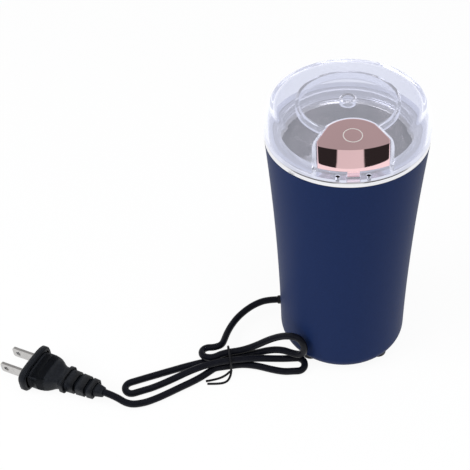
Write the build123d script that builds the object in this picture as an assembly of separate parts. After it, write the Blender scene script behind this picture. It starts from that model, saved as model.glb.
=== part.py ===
"""Electric blade coffee grinder: flared body, steel bowl, clear lid with a push button, mains cord.

Millimetres, +Z up. The origin is on the table under the middle of the body, and the button
faces -Y. Each physical piece is its own solid in its own file.
"""
import math
import os

from build123d import *

# Shared cutting overrun, running clearance and seat clearance
OVERRUN = 1.0
RUNNING_GAP = 0.04
SEAT_GAP = 0.1
FULL_TURN = 360.0
HALF_TURN = 180.0
QUARTER_TURN = 90.0
TOLERANCE = 1e-6

# Body housing and base plate
FOOT_HEIGHT = 2.0
HOUSING_HEIGHT = 147.0
RIM_RADIUS = 43.0
BASE_RADIUS = 37.2
BASE_EDGE_RADIUS = 9.6
HOUSING_WALL = 2.4
SPLIT_INSET = 2.6
PARTING_GAP = 0.15
HOUSING_TOP = FOOT_HEIGHT + HOUSING_HEIGHT
BASE_FLOOR = FOOT_HEIGHT + HOUSING_WALL
EDGE_TOP = FOOT_HEIGHT + BASE_EDGE_RADIUS
SPLIT_RADIUS = BASE_RADIUS - SPLIT_INSET

# Rubber feet
FOOT_COUNT = 4
FOOT_RADIUS = 5.2
FOOT_INSET = 8.6
FOOT_FIRST_ANGLE = 45.0
FOOT_RECESS = 1.6
FOOT_EDGE = 0.7
FOOT_CIRCLE = BASE_RADIUS - FOOT_INSET

# Base screws and the columns that they join
BASE_SCREW_COUNT = 4
BASE_SCREW_INSET = 7.7
BASE_COLUMN_RADIUS = 3.4
BASE_COLUMN_JOINT = 12.0
BASE_COLUMN_LENGTH = 10.0
BASE_COLUMN_WEB = 3.0
BASE_SCREW_RADIUS = 1.5
BASE_SCREW_HEAD_RADIUS = 2.7
BASE_SCREW_HEAD = 2.0
BASE_SCREW_BITE = 7.0
BASE_SCREW_SEAT = 5.6
BASE_SCREW_CIRCLE = BASE_RADIUS - BASE_SCREW_INSET

# Cooling slots in the base plate
VENT_COUNT = 5
VENT_LENGTH = 16.0
VENT_WIDTH = 2.4
VENT_PITCH = 5.2
VENT_OFFSET_Y = -3.0

# Rim ring
RING_HEIGHT = 3.4
RING_EDGE = 1.1
RING_COLLAR_DEPTH = 4.0
RING_COLLAR_WALL = 1.2
RING_REBATE_DEPTH = 2.0
RING_LAND = 4.8
RING_TOP = HOUSING_TOP + RING_HEIGHT

# Grinding bowl
BOWL_SHEET = 0.8
BOWL_FLANGE_WIDTH = 2.0
BOWL_FLANGE_DROP = 0.2
BOWL_STEP_DEPTH = 5.8
BOWL_STEP_HEIGHT = 1.4
BOWL_STEP_WIDTH = 2.4
BOWL_DEPTH = 39.6
BOWL_CORNER_RADIUS = 8.0
BOWL_HUB_BASE_RADIUS = 12.0
BOWL_HUB_TOP_RADIUS = 9.2
BOWL_HUB_HEIGHT = 2.8
BOWL_HOLE_RADIUS = 5.2
BOWL_FLANGE_RADIUS = RIM_RADIUS - RING_LAND - 2 * SEAT_GAP
BOWL_MOUTH_RADIUS = BOWL_FLANGE_RADIUS - BOWL_FLANGE_WIDTH
BOWL_WALL_RADIUS = BOWL_MOUTH_RADIUS - BOWL_STEP_WIDTH
BOWL_RIM_Z = RING_TOP - BOWL_FLANGE_DROP
BOWL_FLOOR = RING_TOP - BOWL_DEPTH
GASKET_HEIGHT = RING_REBATE_DEPTH - BOWL_FLANGE_DROP - BOWL_SHEET

# Lid locating pins on the ring
PIN_RADIUS = 1.2
PIN_SPREAD = 7.6
PIN_INSET = 3.7
PIN_RISE = 1.2
PIN_DEPTH = 1.6
PIN_CLEARANCE = 0.3
PIN_Y = RIM_RADIUS - PIN_INSET

# Clear lid
LID_HEIGHT = 21.1
LID_SKIRT_HEIGHT = 7.2
LID_SHOULDER_HEIGHT = 18.2
LID_TAPER = 3.7
LID_SHOULDER_ROUND = 10.0
LID_TOP_ROUND = 2.2
LID_WALL = 2.2
LID_WEB = 1.5
LID_LIP_DEPTH = 4.4
LID_LIP_WALL = 1.4
LID_LIP_GAP = 0.4
LID_RIB_INSET = 16.5
LID_RIB_WALL = 1.8
LID_RIB_DROP = 4.6
LID_BOSS_RADIUS = 4.2
LID_BOSS_BORE = 2.6
LID_BOSS_DROP = 3.0
LID_TOP_RADIUS = RIM_RADIUS - LID_TAPER
LID_RIB_RADIUS = RIM_RADIUS - LID_RIB_INSET
LID_BASE = RING_TOP + SEAT_GAP
LID_FLOOR = LID_BASE + LID_WEB
LID_TOP = LID_BASE + LID_HEIGHT

# Button and its pocket in the lid
BUTTON_GAP = 0.4
BUTTON_FRONT_HALF = 17.7
BUTTON_FRONT_INSET = 9.8
BUTTON_REAR_HALF = 11.6
BUTTON_REAR_INSET = 20.2
BUTTON_BACK_INSET = 24.8
BUTTON_LIFT = 4.8
BUTTON_WALL = 1.6
POCKET_WALL = 1.6
BUTTON_FRONT_Y = RIM_RADIUS - BUTTON_FRONT_INSET
BUTTON_REAR_Y = RIM_RADIUS - BUTTON_REAR_INSET
BUTTON_BACK_Y = RIM_RADIUS - BUTTON_BACK_INSET
BUTTON_BOTTOM = LID_FLOOR + BUTTON_LIFT

# Button carrier, shoulder screws and springs
CARRIER_RISE = 1.2
CARRIER_THICKNESS = 1.8
CARRIER_SETBACK = 3.0
CARRIER_GAP = 0.3
PLUNGER_WIDTH = 6.0
PLUNGER_THICKNESS = 1.1
PLUNGER_LIFT = 0.5
SHOULDER_SPREAD = 7.6
SHOULDER_INSET = 12.5
SHOULDER_RADIUS = 1.6
SHOULDER_CLEARANCE = 0.1
SHOULDER_HEAD_RADIUS = 2.7
SHOULDER_HEAD = 1.6
SHOULDER_BOSS_RADIUS = 2.0
SHOULDER_BOSS = 1.5
SHOULDER_THREAD_RADIUS = 1.1
BUTTON_SPRING_RADIUS = 2.9
SPRING_WIRE = 0.5
BUTTON_SPRING_TURNS = 3
CARRIER_FRONT_RADIUS = RIM_RADIUS - CARRIER_SETBACK
SHOULDER_Y = RIM_RADIUS - SHOULDER_INSET
CARRIER_BOTTOM = BUTTON_BOTTOM + CARRIER_RISE
CARRIER_TOP = CARRIER_BOTTOM + CARRIER_THICKNESS

# Switch rod between the lid and the switch
ROD_WIDTH = 6.6
ROD_THICKNESS = 1.4
ROD_HEAD_INSET = 4.1
ROD_BOWL_GAP = 0.55
ROD_JOG_DROP = 7.0
ROD_JOG_HEIGHT = 4.0
ROD_GAP = 0.15
ROD_FOOT_HEIGHT = 2.4
ROD_GROOVE_DEPTH = 12.4
ROD_GROOVE_GAP = 0.45
ROD_PIN_RADIUS = 1.3
ROD_PIN_LENGTH = 8.6
ROD_SPRING_RADIUS = 2.5
ROD_SPRING_TURNS = 3
ROD_HEAD_Y = RIM_RADIUS - ROD_HEAD_INSET
ROD_LOWER_Y = BOWL_WALL_RADIUS + BOWL_SHEET + ROD_BOWL_GAP
ROD_JOG_TOP = HOUSING_TOP - ROD_JOG_DROP
ROD_GROOVE_BOTTOM = HOUSING_TOP - ROD_GROOVE_DEPTH

# Motor bracket
BRACKET_DROP = 11.8
BRACKET_THICKNESS = 3.0
BRACKET_FLARE_SHARE = 0.4
BRACKET_GAP = 1.32
BRACKET_CUP_RADIUS = 24.0
BRACKET_CUP_WALL = 2.6
BRACKET_TAB_THICKNESS = 2.0
BRACKET_TAB_WIDTH = 19.0
BRACKET_TAB_LENGTH = 22.0
BRACKET_SCREW_COUNT = 3
BRACKET_RIB_ANGLE = 30.0
BRACKET_SCREW_INSET = 4.0
BRACKET_SCREW_RADIUS = 1.5
BRACKET_SCREW_HEAD_RADIUS = 2.8
BRACKET_SCREW_HEAD = 1.8
BRACKET_SCREW_BITE = 8.0
BRACKET_COLUMN_RADIUS = 3.4
BRACKET_COLUMN_LENGTH = 12.0
BRACKET_RIB_WIDTH = 3.0
BRACKET_NOTCH_GAP = 0.6
BRACKET_WINDOW_COUNT = 6
BRACKET_WINDOW_CIRCLE = 17.0
BRACKET_WINDOW_RADIUS = 2.2
BRACKET_SKIN = BASE_RADIUS + BRACKET_FLARE_SHARE * (RIM_RADIUS - BASE_RADIUS)
BRACKET_RADIUS = BRACKET_SKIN - HOUSING_WALL - BRACKET_GAP
BRACKET_SCREW_CIRCLE = BRACKET_RADIUS - BRACKET_SCREW_INSET
BRACKET_LOW = BOWL_FLOOR - BRACKET_DROP
BRACKET_TOP = BRACKET_LOW + BRACKET_THICKNESS

# Switch
SWITCH_WIDTH = 20.0
SWITCH_DEPTH = 6.4
SWITCH_HEIGHT = 12.0
SWITCH_REACH = 4.95
SWITCH_DROP = 11.0
SWITCH_SPRING_SPACE = 7.0
SWITCH_HOLE_DEPTH = 9.0
SWITCH_HOLE_GAP = 0.2
SWITCH_SCREW_SPREAD = 7.5
SWITCH_SCREW_RADIUS = 1.1
SWITCH_SCREW_HEAD_RADIUS = 2.0
SWITCH_SCREW_HEAD = 1.2
SWITCH_TERMINAL_WIDTH = 2.8
SWITCH_TERMINAL_LENGTH = 4.0
SWITCH_TERMINAL_THICKNESS = 0.8
SWITCH_Y = ROD_LOWER_Y - SWITCH_REACH
SWITCH_TOP = BRACKET_LOW - SWITCH_DROP
ROD_FOOT_LOW = SWITCH_TOP + SWITCH_SPRING_SPACE

# Motor
CAN_RADIUS = 21.0
CAN_WALL = 1.6
CAN_LENGTH = 55.0
CAN_NECK_RADIUS = 7.0
CAN_NECK_HEIGHT = 4.0
CAN_EDGE = 1.2
MOTOR_SCREW_SPREAD = 12.0
MOTOR_SCREW_RADIUS = 1.5
MOTOR_SCREW_HEAD_RADIUS = 2.8
MOTOR_SCREW_HEAD = 1.8
SHAFT_RADIUS = 2.5
BEARING_RADIUS = 5.0
BEARING_LENGTH = 6.0
MAGNET_THICKNESS = 4.0
MAGNET_LENGTH = 32.0
MAGNET_ANGLE = 130.0
MAGNET_LIFT = 14.0
END_CAP_PLATE = 4.0
END_CAP_PLUG = 2.5
END_CAP_BOSS_RADIUS = 7.6
END_CAP_BOSS_DROP = 3.0
CORE_LENGTH = 26.0
CORE_LIFT = 3.0
CORE_GAP = 0.6
CORE_SLOTS = 5
CORE_SLOT_WIDTH = 2.6
CORE_SLOT_ROOT = 8.0
CORE_SLOT_POCKET = 3.0
WINDING_END_HEIGHT = 5.0
WINDING_END_INNER = 4.4
WINDING_GAP = 0.4
COMMUTATOR_RADIUS = 6.0
COMMUTATOR_LENGTH = 8.0
COMMUTATOR_LIFT = 2.5
COMMUTATOR_BARS = 10
COMMUTATOR_SLOT_ANGLE = 9.0
COMMUTATOR_SLOT = 0.5
COMMUTATOR_SLOT_DEPTH = 1.0
BRUSH_WIDTH = 4.0
BRUSH_HEIGHT = 5.0
BRUSH_LENGTH = 8.0
BRUSH_GAP = 0.3
HOLDER_WALL = 1.4
CAN_TOP = BRACKET_LOW
CAN_LOW = CAN_TOP - CAN_LENGTH
MAGNET_LOW = CAN_LOW + MAGNET_LIFT
CORE_LOW = MAGNET_LOW + CORE_LIFT
COMMUTATOR_LOW = CAN_LOW + COMMUTATOR_LIFT
END_CAP_LOW = CAN_LOW - END_CAP_PLATE

# Cooling fan
FAN_TOP_GAP = 1.6
FAN_RADIUS = 21.0
FAN_HUB_RADIUS = 5.0
FAN_DISC = 1.4
FAN_BLADE_HEIGHT = 6.4
FAN_BLADE_THICKNESS = 1.2
FAN_BLADE_COUNT = 9
FAN_BLADE_SWEEP = 25.0
SHAFT_TAIL = 1.5

# Shaft seal, blade and nut
SEAL_LIP = 1.6
SEAL_FLANGE = 1.0
SEAL_DEPTH = 2.0
COLLAR_RADIUS = 6.0
COLLAR_HEIGHT = 3.2
COLLAR_GAP = 0.4
BLADE_SPAN = 26.5
BLADE_THICKNESS = 1.5
BLADE_ROOT_WIDTH = 13.0
BLADE_TIP_WIDTH = 8.0
BLADE_RISE = 3.6
BLADE_DROP = 1.2
BLADE_TWIST = 16.0
BLADE_FLAT_HALF = 7.0
NUT_FLATS = 9.0
NUT_HEIGHT = 4.0
NUT_DOME = 3.0
NUT_ROUND = 2.7
NUT_WALL_TOP = 1.2
SHAFT_INTO_NUT = 4.6

# Circuit board in the base
BOARD_CENTRE = (6.0, -5.0)
BOARD_SIZE = (36.0, 26.0)
BOARD_THICKNESS = 1.6
BOARD_LOW = 12.0
BOARD_EDGE = 3.0
STANDOFF_RADIUS = 2.2
CAPACITOR_RADIUS = 5.0
CAPACITOR_HEIGHT = 10.5
CAPACITOR_PLACE = (15.0, -10.0)
RECTIFIER_SIZE = (13.0, 10.0, 6.0)
RECTIFIER_PLACE = (-2.0, -9.5)
TERMINAL_SIZE = (12.0, 7.0, 8.0)
TERMINAL_PLACE = (-3.0, 3.0)
COMPONENT_EDGE = 0.6
BOARD_TOP = BOARD_LOW + BOARD_THICKNESS

# Cord entry: grommet and clamp
CORD_DIAMETER = 4.2
CORD_EXIT_Y = 13.0
CORD_EXIT_Z = 13.0
GROMMET_REACH = 1.8
GROMMET_LENGTH = 10.0
GROMMET_RADIUS = 2.95
GROMMET_TIP_RADIUS = 2.6
GROMMET_FLANGE_RADIUS = 4.4
GROMMET_FLANGE = 1.6
GROMMET_HOLE_GAP = 0.05
SHEATH_BARE = 4.0
CLAMP_SETBACK = 3.5
CLAMP_LENGTH = 5.5
CLAMP_HALF = 7.0
CLAMP_CAP = 2.4
CLAMP_SCREW_SPREAD = 4.7
CLAMP_SCREW_RADIUS = 1.1
CLAMP_SCREW_HEAD_RADIUS = 2.0
CLAMP_SCREW_HEAD = 1.4
CLAMP_SCREW_BITE = 4.0
LEAD_DIAMETER = 1.6
LEAD_PITCH = 2.2
LEAD_RUN = 4.0
GROMMET_OUT = BASE_RADIUS + GROMMET_REACH
GROMMET_IN = GROMMET_OUT - GROMMET_LENGTH
CLAMP_OUT = GROMMET_IN - CLAMP_SETBACK
CLAMP_IN = CLAMP_OUT - CLAMP_LENGTH
SHEATH_END = CLAMP_IN - SHEATH_BARE

# Plug
PLUG_FACE = (-184.3, -29.7, 8.2)
PLUG_ANGLE = -30.8
PLUG_LENGTH = 47.0
PLUG_FLANGE = 5.0
PLUG_FLANGE_SIZE = (27.0, 16.0)
PLUG_BODY_SIZE = (20.0, 13.0)
PLUG_WAIST_SIZE = (12.0, 9.4)
PLUG_BODY_LENGTH = 14.0
PLUG_WAIST_LENGTH = 9.0
PLUG_CORNER_SHARE = 0.44
PLUG_RELIEF_RADIUS = 4.2
PLUG_RELIEF_TIP_RADIUS = 2.7
PLUG_RIB_COUNT = 5
PLUG_RIB_GROOVE = 1.2
PLUG_RIB_DEPTH = 0.8
PLUG_EDGE = 1.0
PRONG_PITCH = 12.7
PRONG_LENGTH = 17.0
PRONG_THICKNESS = 1.5
PRONG_WIDTHS = (7.9, 6.3)
PRONG_HOLE_RADIUS = 1.6
PRONG_HOLE_FROM_TIP = 4.2
PRONG_CORNER = 1.5

# Mains cord: free stretches, points chosen by hand in their order along the cord
CORD_FLOOR = CORD_DIAMETER / 2 + SEAT_GAP
BEND_SHARE = 0.45
LEAD_ROUTE = [
    (-39.0, 13.0, 13.0),
    (-45.5, 13.0, 13.0),
    (-52.4, 11.9, 11.2),
    (-58.8, 9.0, 9.0),
    (-64.2, 4.6, 7.2),
    (-68.0, -0.7, 6.2),
    (-70.6, -6.6, 6.2),
    (-72.0, -11.6, 6.6),
]
TAIL_POINTS = [
    (-80.5, -34.0, 2.6),
    (-86.2, -38.4, 2.2),
    (-92.2, -42.2, 2.2),
    (-98.8, -45.9, 2.25),
    (-105.4, -49.8, 2.2),
    (-112.4, -53.6, 2.25),
    (-120.0, -57.0, 2.4),
    (-128.6, -59.2, 4.0),
]
TAIL_RUN = 4.6
PLUG_RUN = 7.0

# Hank: each loop ends in a strand through the tie, and the strands pass it two by two.
# The loops are a short fold, a raised loop, a long loop and a flat loop, left and right in turn.
STRAND_SEATS = ((1, 1), (0, 1), (1, -1), (0, -1))
COLUMN_PITCH = 6.4
LAYER_PITCH = 5.2
WAIST_LIFT = 1.0
TIE_PLACE = (-69.0, -28.0)
WAIST_ANGLE = 8.0
LOOP_ANGLE = (-3.0, -27.2, 19.0, 1.4)
LOOP_REACH = (17.0, 41.9, 64.6, 44.6)
LOOP_HALF_WIDTH = (4.3, 7.8, 4.3, 4.3)
LOOP_SETBACK = (4.3, 7.5, 4.3, 4.3)
LOOP_MIDDLE = (3.3, 16.0, 2.8, -5.1)
LOOP_TILT = (-6.0, 90.0, 0.0, 11.5)
LOOP_PITCH = (0.0, 24.6, 0.0, 0.0)
LOOP_RISE = (5.5, 16.4, 0.0, 1.5)
HANK_LEAD_IN = 3.8
HANK_LEAD_OUT = 5.0
GAP_SAMPLE = 0.6
GAP_SKIP = 4 * CORD_DIAMETER

# Twist tie round the hank's waist
TIE_WIDTH = 1.6
TIE_THICKNESS = 0.8
TIE_GAP = 0.35
TIE_CORNER = 2.4
TIE_TAIL_WIDTH = 1.2
TIE_TAIL_LENGTHS = (15.0, 10.5)
TIE_TAIL_ANGLES = (33.0, 52.0)
TIE_TAIL_DROP_ANGLE = 8.0


def cylinder(radius, low, high, x=0, y=0):
    """Upright cylinder between two heights."""
    return Pos(x, y, (low + high) / 2) * Cylinder(radius, high - low)


def ring(outer, inner, low, high):
    """Upright ring with square edges."""
    return cylinder(outer, low, high) - cylinder(inner, low - OVERRUN, high + OVERRUN)


def block(x_span, y_span, z_span):
    """Box between two corners, given as three spans."""
    spans = (x_span, y_span, z_span)
    middle = [(a + b) / 2 for a, b in spans]
    return Pos(*middle) * Box(*[abs(b - a) for a, b in spans])


def lathe(points, radii=None):
    """Turn a closed outline of (radius, height) points about Z, with optional corner rounds."""
    outline = FilletPolyline(*points, radius=radii or [0] * len(points), close=True)
    return revolve(Plane.XZ * make_face(outline), Axis.Z)


def polar(radius, angle, height=0):
    """Point at a radius and an angle in degrees."""
    return (radius * math.cos(math.radians(angle)), radius * math.sin(math.radians(angle)), height)


def around(count, first=0.0):
    """Evenly spaced angles in degrees."""
    return [first + FULL_TURN * i / count for i in range(count)]


def cup(inset, over=0):
    """Solid inside the body's skin, moved in by an inset and carried past the top by an overrun."""
    low = FOOT_HEIGHT + inset
    side = BASE_RADIUS - inset
    edge = BASE_EDGE_RADIUS - inset
    rim = RIM_RADIUS - inset
    lines = [
        Line((0, low), (side - edge, low)),
        TangentArc((side - edge, low), (side, low + edge), tangent=(1, 0)),
        TangentArc((side, low + edge), (rim, HOUSING_TOP), tangent=(0, 1)),
    ]
    if over:
        lines.append(Line((rim, HOUSING_TOP), (rim, HOUSING_TOP + over)))
    lines.append(Line((rim, HOUSING_TOP + over), (0, HOUSING_TOP + over)))
    lines.append(Line((0, HOUSING_TOP + over), (0, low)))
    return revolve(Plane.XZ * make_face(lines), Axis.Z)


def skin_radius(height, inset=0):
    """Radius of the body's flared skin at a height above its rounded edge."""
    rise = HOUSING_TOP - EDGE_TOP
    flare = RIM_RADIUS - BASE_RADIUS
    curvature = 2 * flare / (rise ** 2 + flare ** 2)
    turn = curvature * (height - EDGE_TOP)
    return BASE_RADIUS - inset + turn * (height - EDGE_TOP) / (1 + math.sqrt(1 - turn ** 2))


def grommet_hole():
    """Straight hole for the cord grommet through the body's side."""
    length = GROMMET_OUT - GROMMET_IN
    place = Pos(-(GROMMET_OUT + GROMMET_IN) / 2, CORD_EXIT_Y, CORD_EXIT_Z)
    hole = Cylinder(GROMMET_RADIUS + GROMMET_HOLE_GAP, length + 2 * OVERRUN)
    return place * Rot(0, QUARTER_TURN, 0) * hole


def base_screw_places():
    """Centres of the base screws."""
    return [polar(BASE_SCREW_CIRCLE, a) for a in around(BASE_SCREW_COUNT)]


def make_housing():
    """Flared body shell with columns for the base screws and the motor bracket."""
    shell = cup(0) - cup(HOUSING_WALL, OVERRUN)
    shell -= cylinder(SPLIT_RADIUS, 0, EDGE_TOP)
    inside = cup(HOUSING_WALL / 2)
    columns = []
    for angle in around(BASE_SCREW_COUNT):
        x, y, _ = polar(BASE_SCREW_CIRCLE, angle)
        high = BASE_COLUMN_JOINT + BASE_COLUMN_LENGTH
        column = cylinder(BASE_COLUMN_RADIUS, BASE_COLUMN_JOINT, high, x, y)
        web = block((BASE_SCREW_CIRCLE, BASE_RADIUS), (-BASE_COLUMN_WEB / 2, BASE_COLUMN_WEB / 2),
                    (BASE_COLUMN_JOINT, high))
        columns.append((column + Rot(0, 0, angle) * web) & inside)
    for angle in around(BRACKET_SCREW_COUNT, QUARTER_TURN):
        x, y, _ = polar(BRACKET_SCREW_CIRCLE, angle)
        low = BRACKET_LOW - BRACKET_COLUMN_LENGTH
        column = cylinder(BRACKET_COLUMN_RADIUS, low, BRACKET_LOW, x, y)
        web = block((BRACKET_SCREW_CIRCLE, RIM_RADIUS), (-BRACKET_RIB_WIDTH / 2, BRACKET_RIB_WIDTH / 2),
                    (low, BRACKET_LOW))
        columns.append((column + Rot(0, 0, angle) * web) & inside)
    for column in columns:
        shell += column
    for x, y, _ in base_screw_places():
        top = BASE_COLUMN_JOINT + BASE_SCREW_BITE + OVERRUN
        shell -= cylinder(BASE_SCREW_RADIUS + RUNNING_GAP, 0, top, x, y)
    for angle in around(BRACKET_SCREW_COUNT, QUARTER_TURN):
        x, y, _ = polar(BRACKET_SCREW_CIRCLE, angle)
        low = BRACKET_LOW - BRACKET_SCREW_BITE - OVERRUN
        shell -= cylinder(BRACKET_SCREW_RADIUS + RUNNING_GAP, low, BRACKET_TOP, x, y)
    half = ROD_WIDTH / 2 + ROD_GROOVE_GAP
    depth = ROD_HEAD_Y + ROD_THICKNESS + ROD_GROOVE_GAP
    shell -= block((-half, half), (-depth, -ROD_LOWER_Y), (ROD_GROOVE_BOTTOM, HOUSING_TOP + OVERRUN))
    return shell - grommet_hole()


def make_base_plate():
    """Dished bottom cover with screw posts, board standoffs, cord saddle, foot recesses and slots."""
    dish = (cup(0) - cup(HOUSING_WALL, OVERRUN)) & cylinder(SPLIT_RADIUS - PARTING_GAP, 0, EDGE_TOP)
    for x, y, _ in base_screw_places():
        dish += cylinder(BASE_COLUMN_RADIUS, BASE_FLOOR, BASE_COLUMN_JOINT, x, y) & cup(HOUSING_WALL / 2)
    for x, y in standoff_places():
        dish += cylinder(STANDOFF_RADIUS, BASE_FLOOR - HOUSING_WALL / 2, BOARD_LOW, x, y)
    saddle_top = CORD_EXIT_Z - CORD_DIAMETER / 2 - RUNNING_GAP
    saddle = block((-CLAMP_OUT, -CLAMP_IN), (CORD_EXIT_Y - CLAMP_HALF, CORD_EXIT_Y + CLAMP_HALF),
                   (BASE_FLOOR - HOUSING_WALL / 2, saddle_top))
    dish += saddle & cup(HOUSING_WALL / 2)
    for x, y, _ in base_screw_places():
        dish -= cylinder(BASE_SCREW_RADIUS + RUNNING_GAP, 0, BASE_COLUMN_JOINT + OVERRUN, x, y)
        dish -= cylinder(BASE_SCREW_HEAD_RADIUS + SEAT_GAP, 0, BASE_SCREW_SEAT, x, y)
    for angle in around(FOOT_COUNT, FOOT_FIRST_ANGLE):
        x, y, _ = polar(FOOT_CIRCLE, angle)
        dish -= cylinder(FOOT_RADIUS + RUNNING_GAP, 0, FOOT_HEIGHT + FOOT_RECESS, x, y)
    for i in range(VENT_COUNT):
        y = VENT_OFFSET_Y + (i - (VENT_COUNT - 1) / 2) * VENT_PITCH
        slot = extrude(SlotOverall(VENT_LENGTH, VENT_WIDTH), BASE_FLOOR + OVERRUN)
        dish -= Pos(0, y, 0) * slot
    for side in (-1, 1):
        low = saddle_top - CLAMP_SCREW_BITE - OVERRUN
        y = CORD_EXIT_Y + side * CLAMP_SCREW_SPREAD
        x = -(CLAMP_OUT + CLAMP_IN) / 2
        dish -= cylinder(CLAMP_SCREW_RADIUS + RUNNING_GAP, low, saddle_top + OVERRUN, x, y)
    return dish


def make_feet():
    """Four round rubber feet seated in the base plate's recesses."""
    feet = []
    for angle in around(FOOT_COUNT, FOOT_FIRST_ANGLE):
        x, y, _ = polar(FOOT_CIRCLE, angle)
        foot = cylinder(FOOT_RADIUS, 0, FOOT_HEIGHT + FOOT_RECESS, x, y)
        foot = fillet(foot.edges().group_by(Axis.Z)[0], FOOT_EDGE)
        feet.append(foot)
    return feet


def screw(radius, length, head_radius, head):
    """Plain screw along +Z with its head under the origin plane."""
    return cylinder(radius, 0, length) + cylinder(head_radius, -head, 0)


def make_base_screws():
    """Screws that hold the base plate to the housing's columns."""
    length = BASE_COLUMN_JOINT + BASE_SCREW_BITE - BASE_SCREW_SEAT
    one = screw(BASE_SCREW_RADIUS, length, BASE_SCREW_HEAD_RADIUS, BASE_SCREW_HEAD)
    return [Pos(x, y, BASE_SCREW_SEAT) * one for x, y, _ in base_screw_places()]


def make_rim_ring():
    """Polished ring that caps the body, carries the bowl's flange and guides the switch rod."""
    collar_low = HOUSING_TOP - RING_COLLAR_DEPTH
    collar = skin_radius(collar_low, HOUSING_WALL) - PARTING_GAP
    bore = BOWL_MOUTH_RADIUS + BOWL_SHEET + PARTING_GAP
    rebate = BOWL_FLANGE_RADIUS + 2 * SEAT_GAP
    rebate_low = RING_TOP - RING_REBATE_DEPTH
    points = [
        (bore, HOUSING_TOP), (collar - RING_COLLAR_WALL, HOUSING_TOP),
        (collar - RING_COLLAR_WALL, collar_low), (collar, collar_low), (collar, HOUSING_TOP),
        (RIM_RADIUS, HOUSING_TOP), (RIM_RADIUS, RING_TOP), (rebate, RING_TOP),
        (rebate, rebate_low), (bore, rebate_low),
    ]
    radii = [0, 0, 0, 0, 0, RING_EDGE / 2, RING_EDGE, 0, 0, 0]
    body = lathe(points, radii)
    half = ROD_WIDTH / 2 + ROD_GAP
    near = ROD_HEAD_Y - ROD_GAP
    far = ROD_HEAD_Y + ROD_THICKNESS + ROD_GAP
    body -= block((-half, half), (-far, -near), (HOUSING_TOP - OVERRUN, RING_TOP + OVERRUN))
    notch = half + ROD_GROOVE_GAP
    body -= block((-notch, notch), (-RIM_RADIUS, -ROD_LOWER_Y), (collar_low - OVERRUN, HOUSING_TOP))
    for x in (-PIN_SPREAD, PIN_SPREAD):
        body -= cylinder(PIN_RADIUS + RUNNING_GAP, RING_TOP - PIN_DEPTH, RING_TOP + OVERRUN, x, -PIN_Y)
    return body


def make_locating_pins():
    """Two pins in the rim ring that turn the lid to its place."""
    pins = []
    for x in (-PIN_SPREAD, PIN_SPREAD):
        pin = cylinder(PIN_RADIUS, RING_TOP - PIN_DEPTH, RING_TOP + PIN_RISE, x, -PIN_Y)
        pins.append(fillet(pin.edges().group_by(Axis.Z)[-1], PIN_RADIUS / 3))
    return pins


def make_bowl():
    """Drawn steel bowl with a flange, a stepped mouth, a round corner and a raised hub."""
    sheet = BOWL_SHEET
    step_top = BOWL_RIM_Z - BOWL_STEP_DEPTH
    step_low = step_top - BOWL_STEP_HEIGHT
    hub = BOWL_FLOOR + BOWL_HUB_HEIGHT
    points = [
        (BOWL_FLANGE_RADIUS, BOWL_RIM_Z), (BOWL_MOUTH_RADIUS, BOWL_RIM_Z),
        (BOWL_MOUTH_RADIUS, step_top), (BOWL_WALL_RADIUS, step_low),
        (BOWL_WALL_RADIUS, BOWL_FLOOR), (BOWL_HUB_BASE_RADIUS, BOWL_FLOOR),
        (BOWL_HUB_TOP_RADIUS, hub), (BOWL_HOLE_RADIUS, hub), (BOWL_HOLE_RADIUS, hub - sheet),
        (BOWL_HUB_TOP_RADIUS - sheet / 2, hub - sheet),
        (BOWL_HUB_BASE_RADIUS - sheet / 2, BOWL_FLOOR - sheet),
        (BOWL_WALL_RADIUS + sheet, BOWL_FLOOR - sheet),
        (BOWL_WALL_RADIUS + sheet, step_low - sheet / 2),
        (BOWL_MOUTH_RADIUS + sheet, step_top - sheet / 2),
        (BOWL_MOUTH_RADIUS + sheet, BOWL_RIM_Z - sheet), (BOWL_FLANGE_RADIUS, BOWL_RIM_Z - sheet),
    ]
    radii = [0] * len(points)
    radii[4] = BOWL_CORNER_RADIUS
    radii[11] = BOWL_CORNER_RADIUS + sheet
    return lathe(points, radii)


def make_gasket():
    """Rubber ring between the bowl's flange and the rim ring."""
    low = RING_TOP - RING_REBATE_DEPTH
    inner = BOWL_MOUTH_RADIUS + BOWL_SHEET + PARTING_GAP
    return ring(BOWL_FLANGE_RADIUS + SEAT_GAP, inner, low, low + GASKET_HEIGHT)


def lid_solid(inset, low):
    """Solid inside the lid's skin, moved in by an inset, from a given bottom height."""
    shoulder = LID_BASE + LID_SKIRT_HEIGHT
    dome = LID_HEIGHT - LID_SHOULDER_HEIGHT
    dome_radius = (LID_TOP_RADIUS ** 2 + dome ** 2) / (2 * dome)
    centre = LID_TOP - dome_radius
    skirt = RIM_RADIUS - inset
    top = LID_TOP_RADIUS - inset
    ball = dome_radius - inset
    edge = centre + math.sqrt(ball ** 2 - top ** 2)
    half = math.asin(top / ball) / 2
    crown = (ball * math.sin(half), centre + ball * math.cos(half))
    outline = make_face([
        Line((0, low), (skirt, low)),
        Line((skirt, low), (skirt, shoulder)),
        Line((skirt, shoulder), (top, edge)),
        ThreePointArc((top, edge), crown, (0, centre + ball)),
        Line((0, centre + ball), (0, low)),
    ])
    for x, y, radius in ((skirt, shoulder, LID_SHOULDER_ROUND), (top, edge, LID_TOP_ROUND)):
        corner = outline.vertices().sort_by_distance((x, y, 0))[0]
        outline = fillet(corner, radius)
    return revolve(Plane.XZ * outline, Axis.Z)


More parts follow.
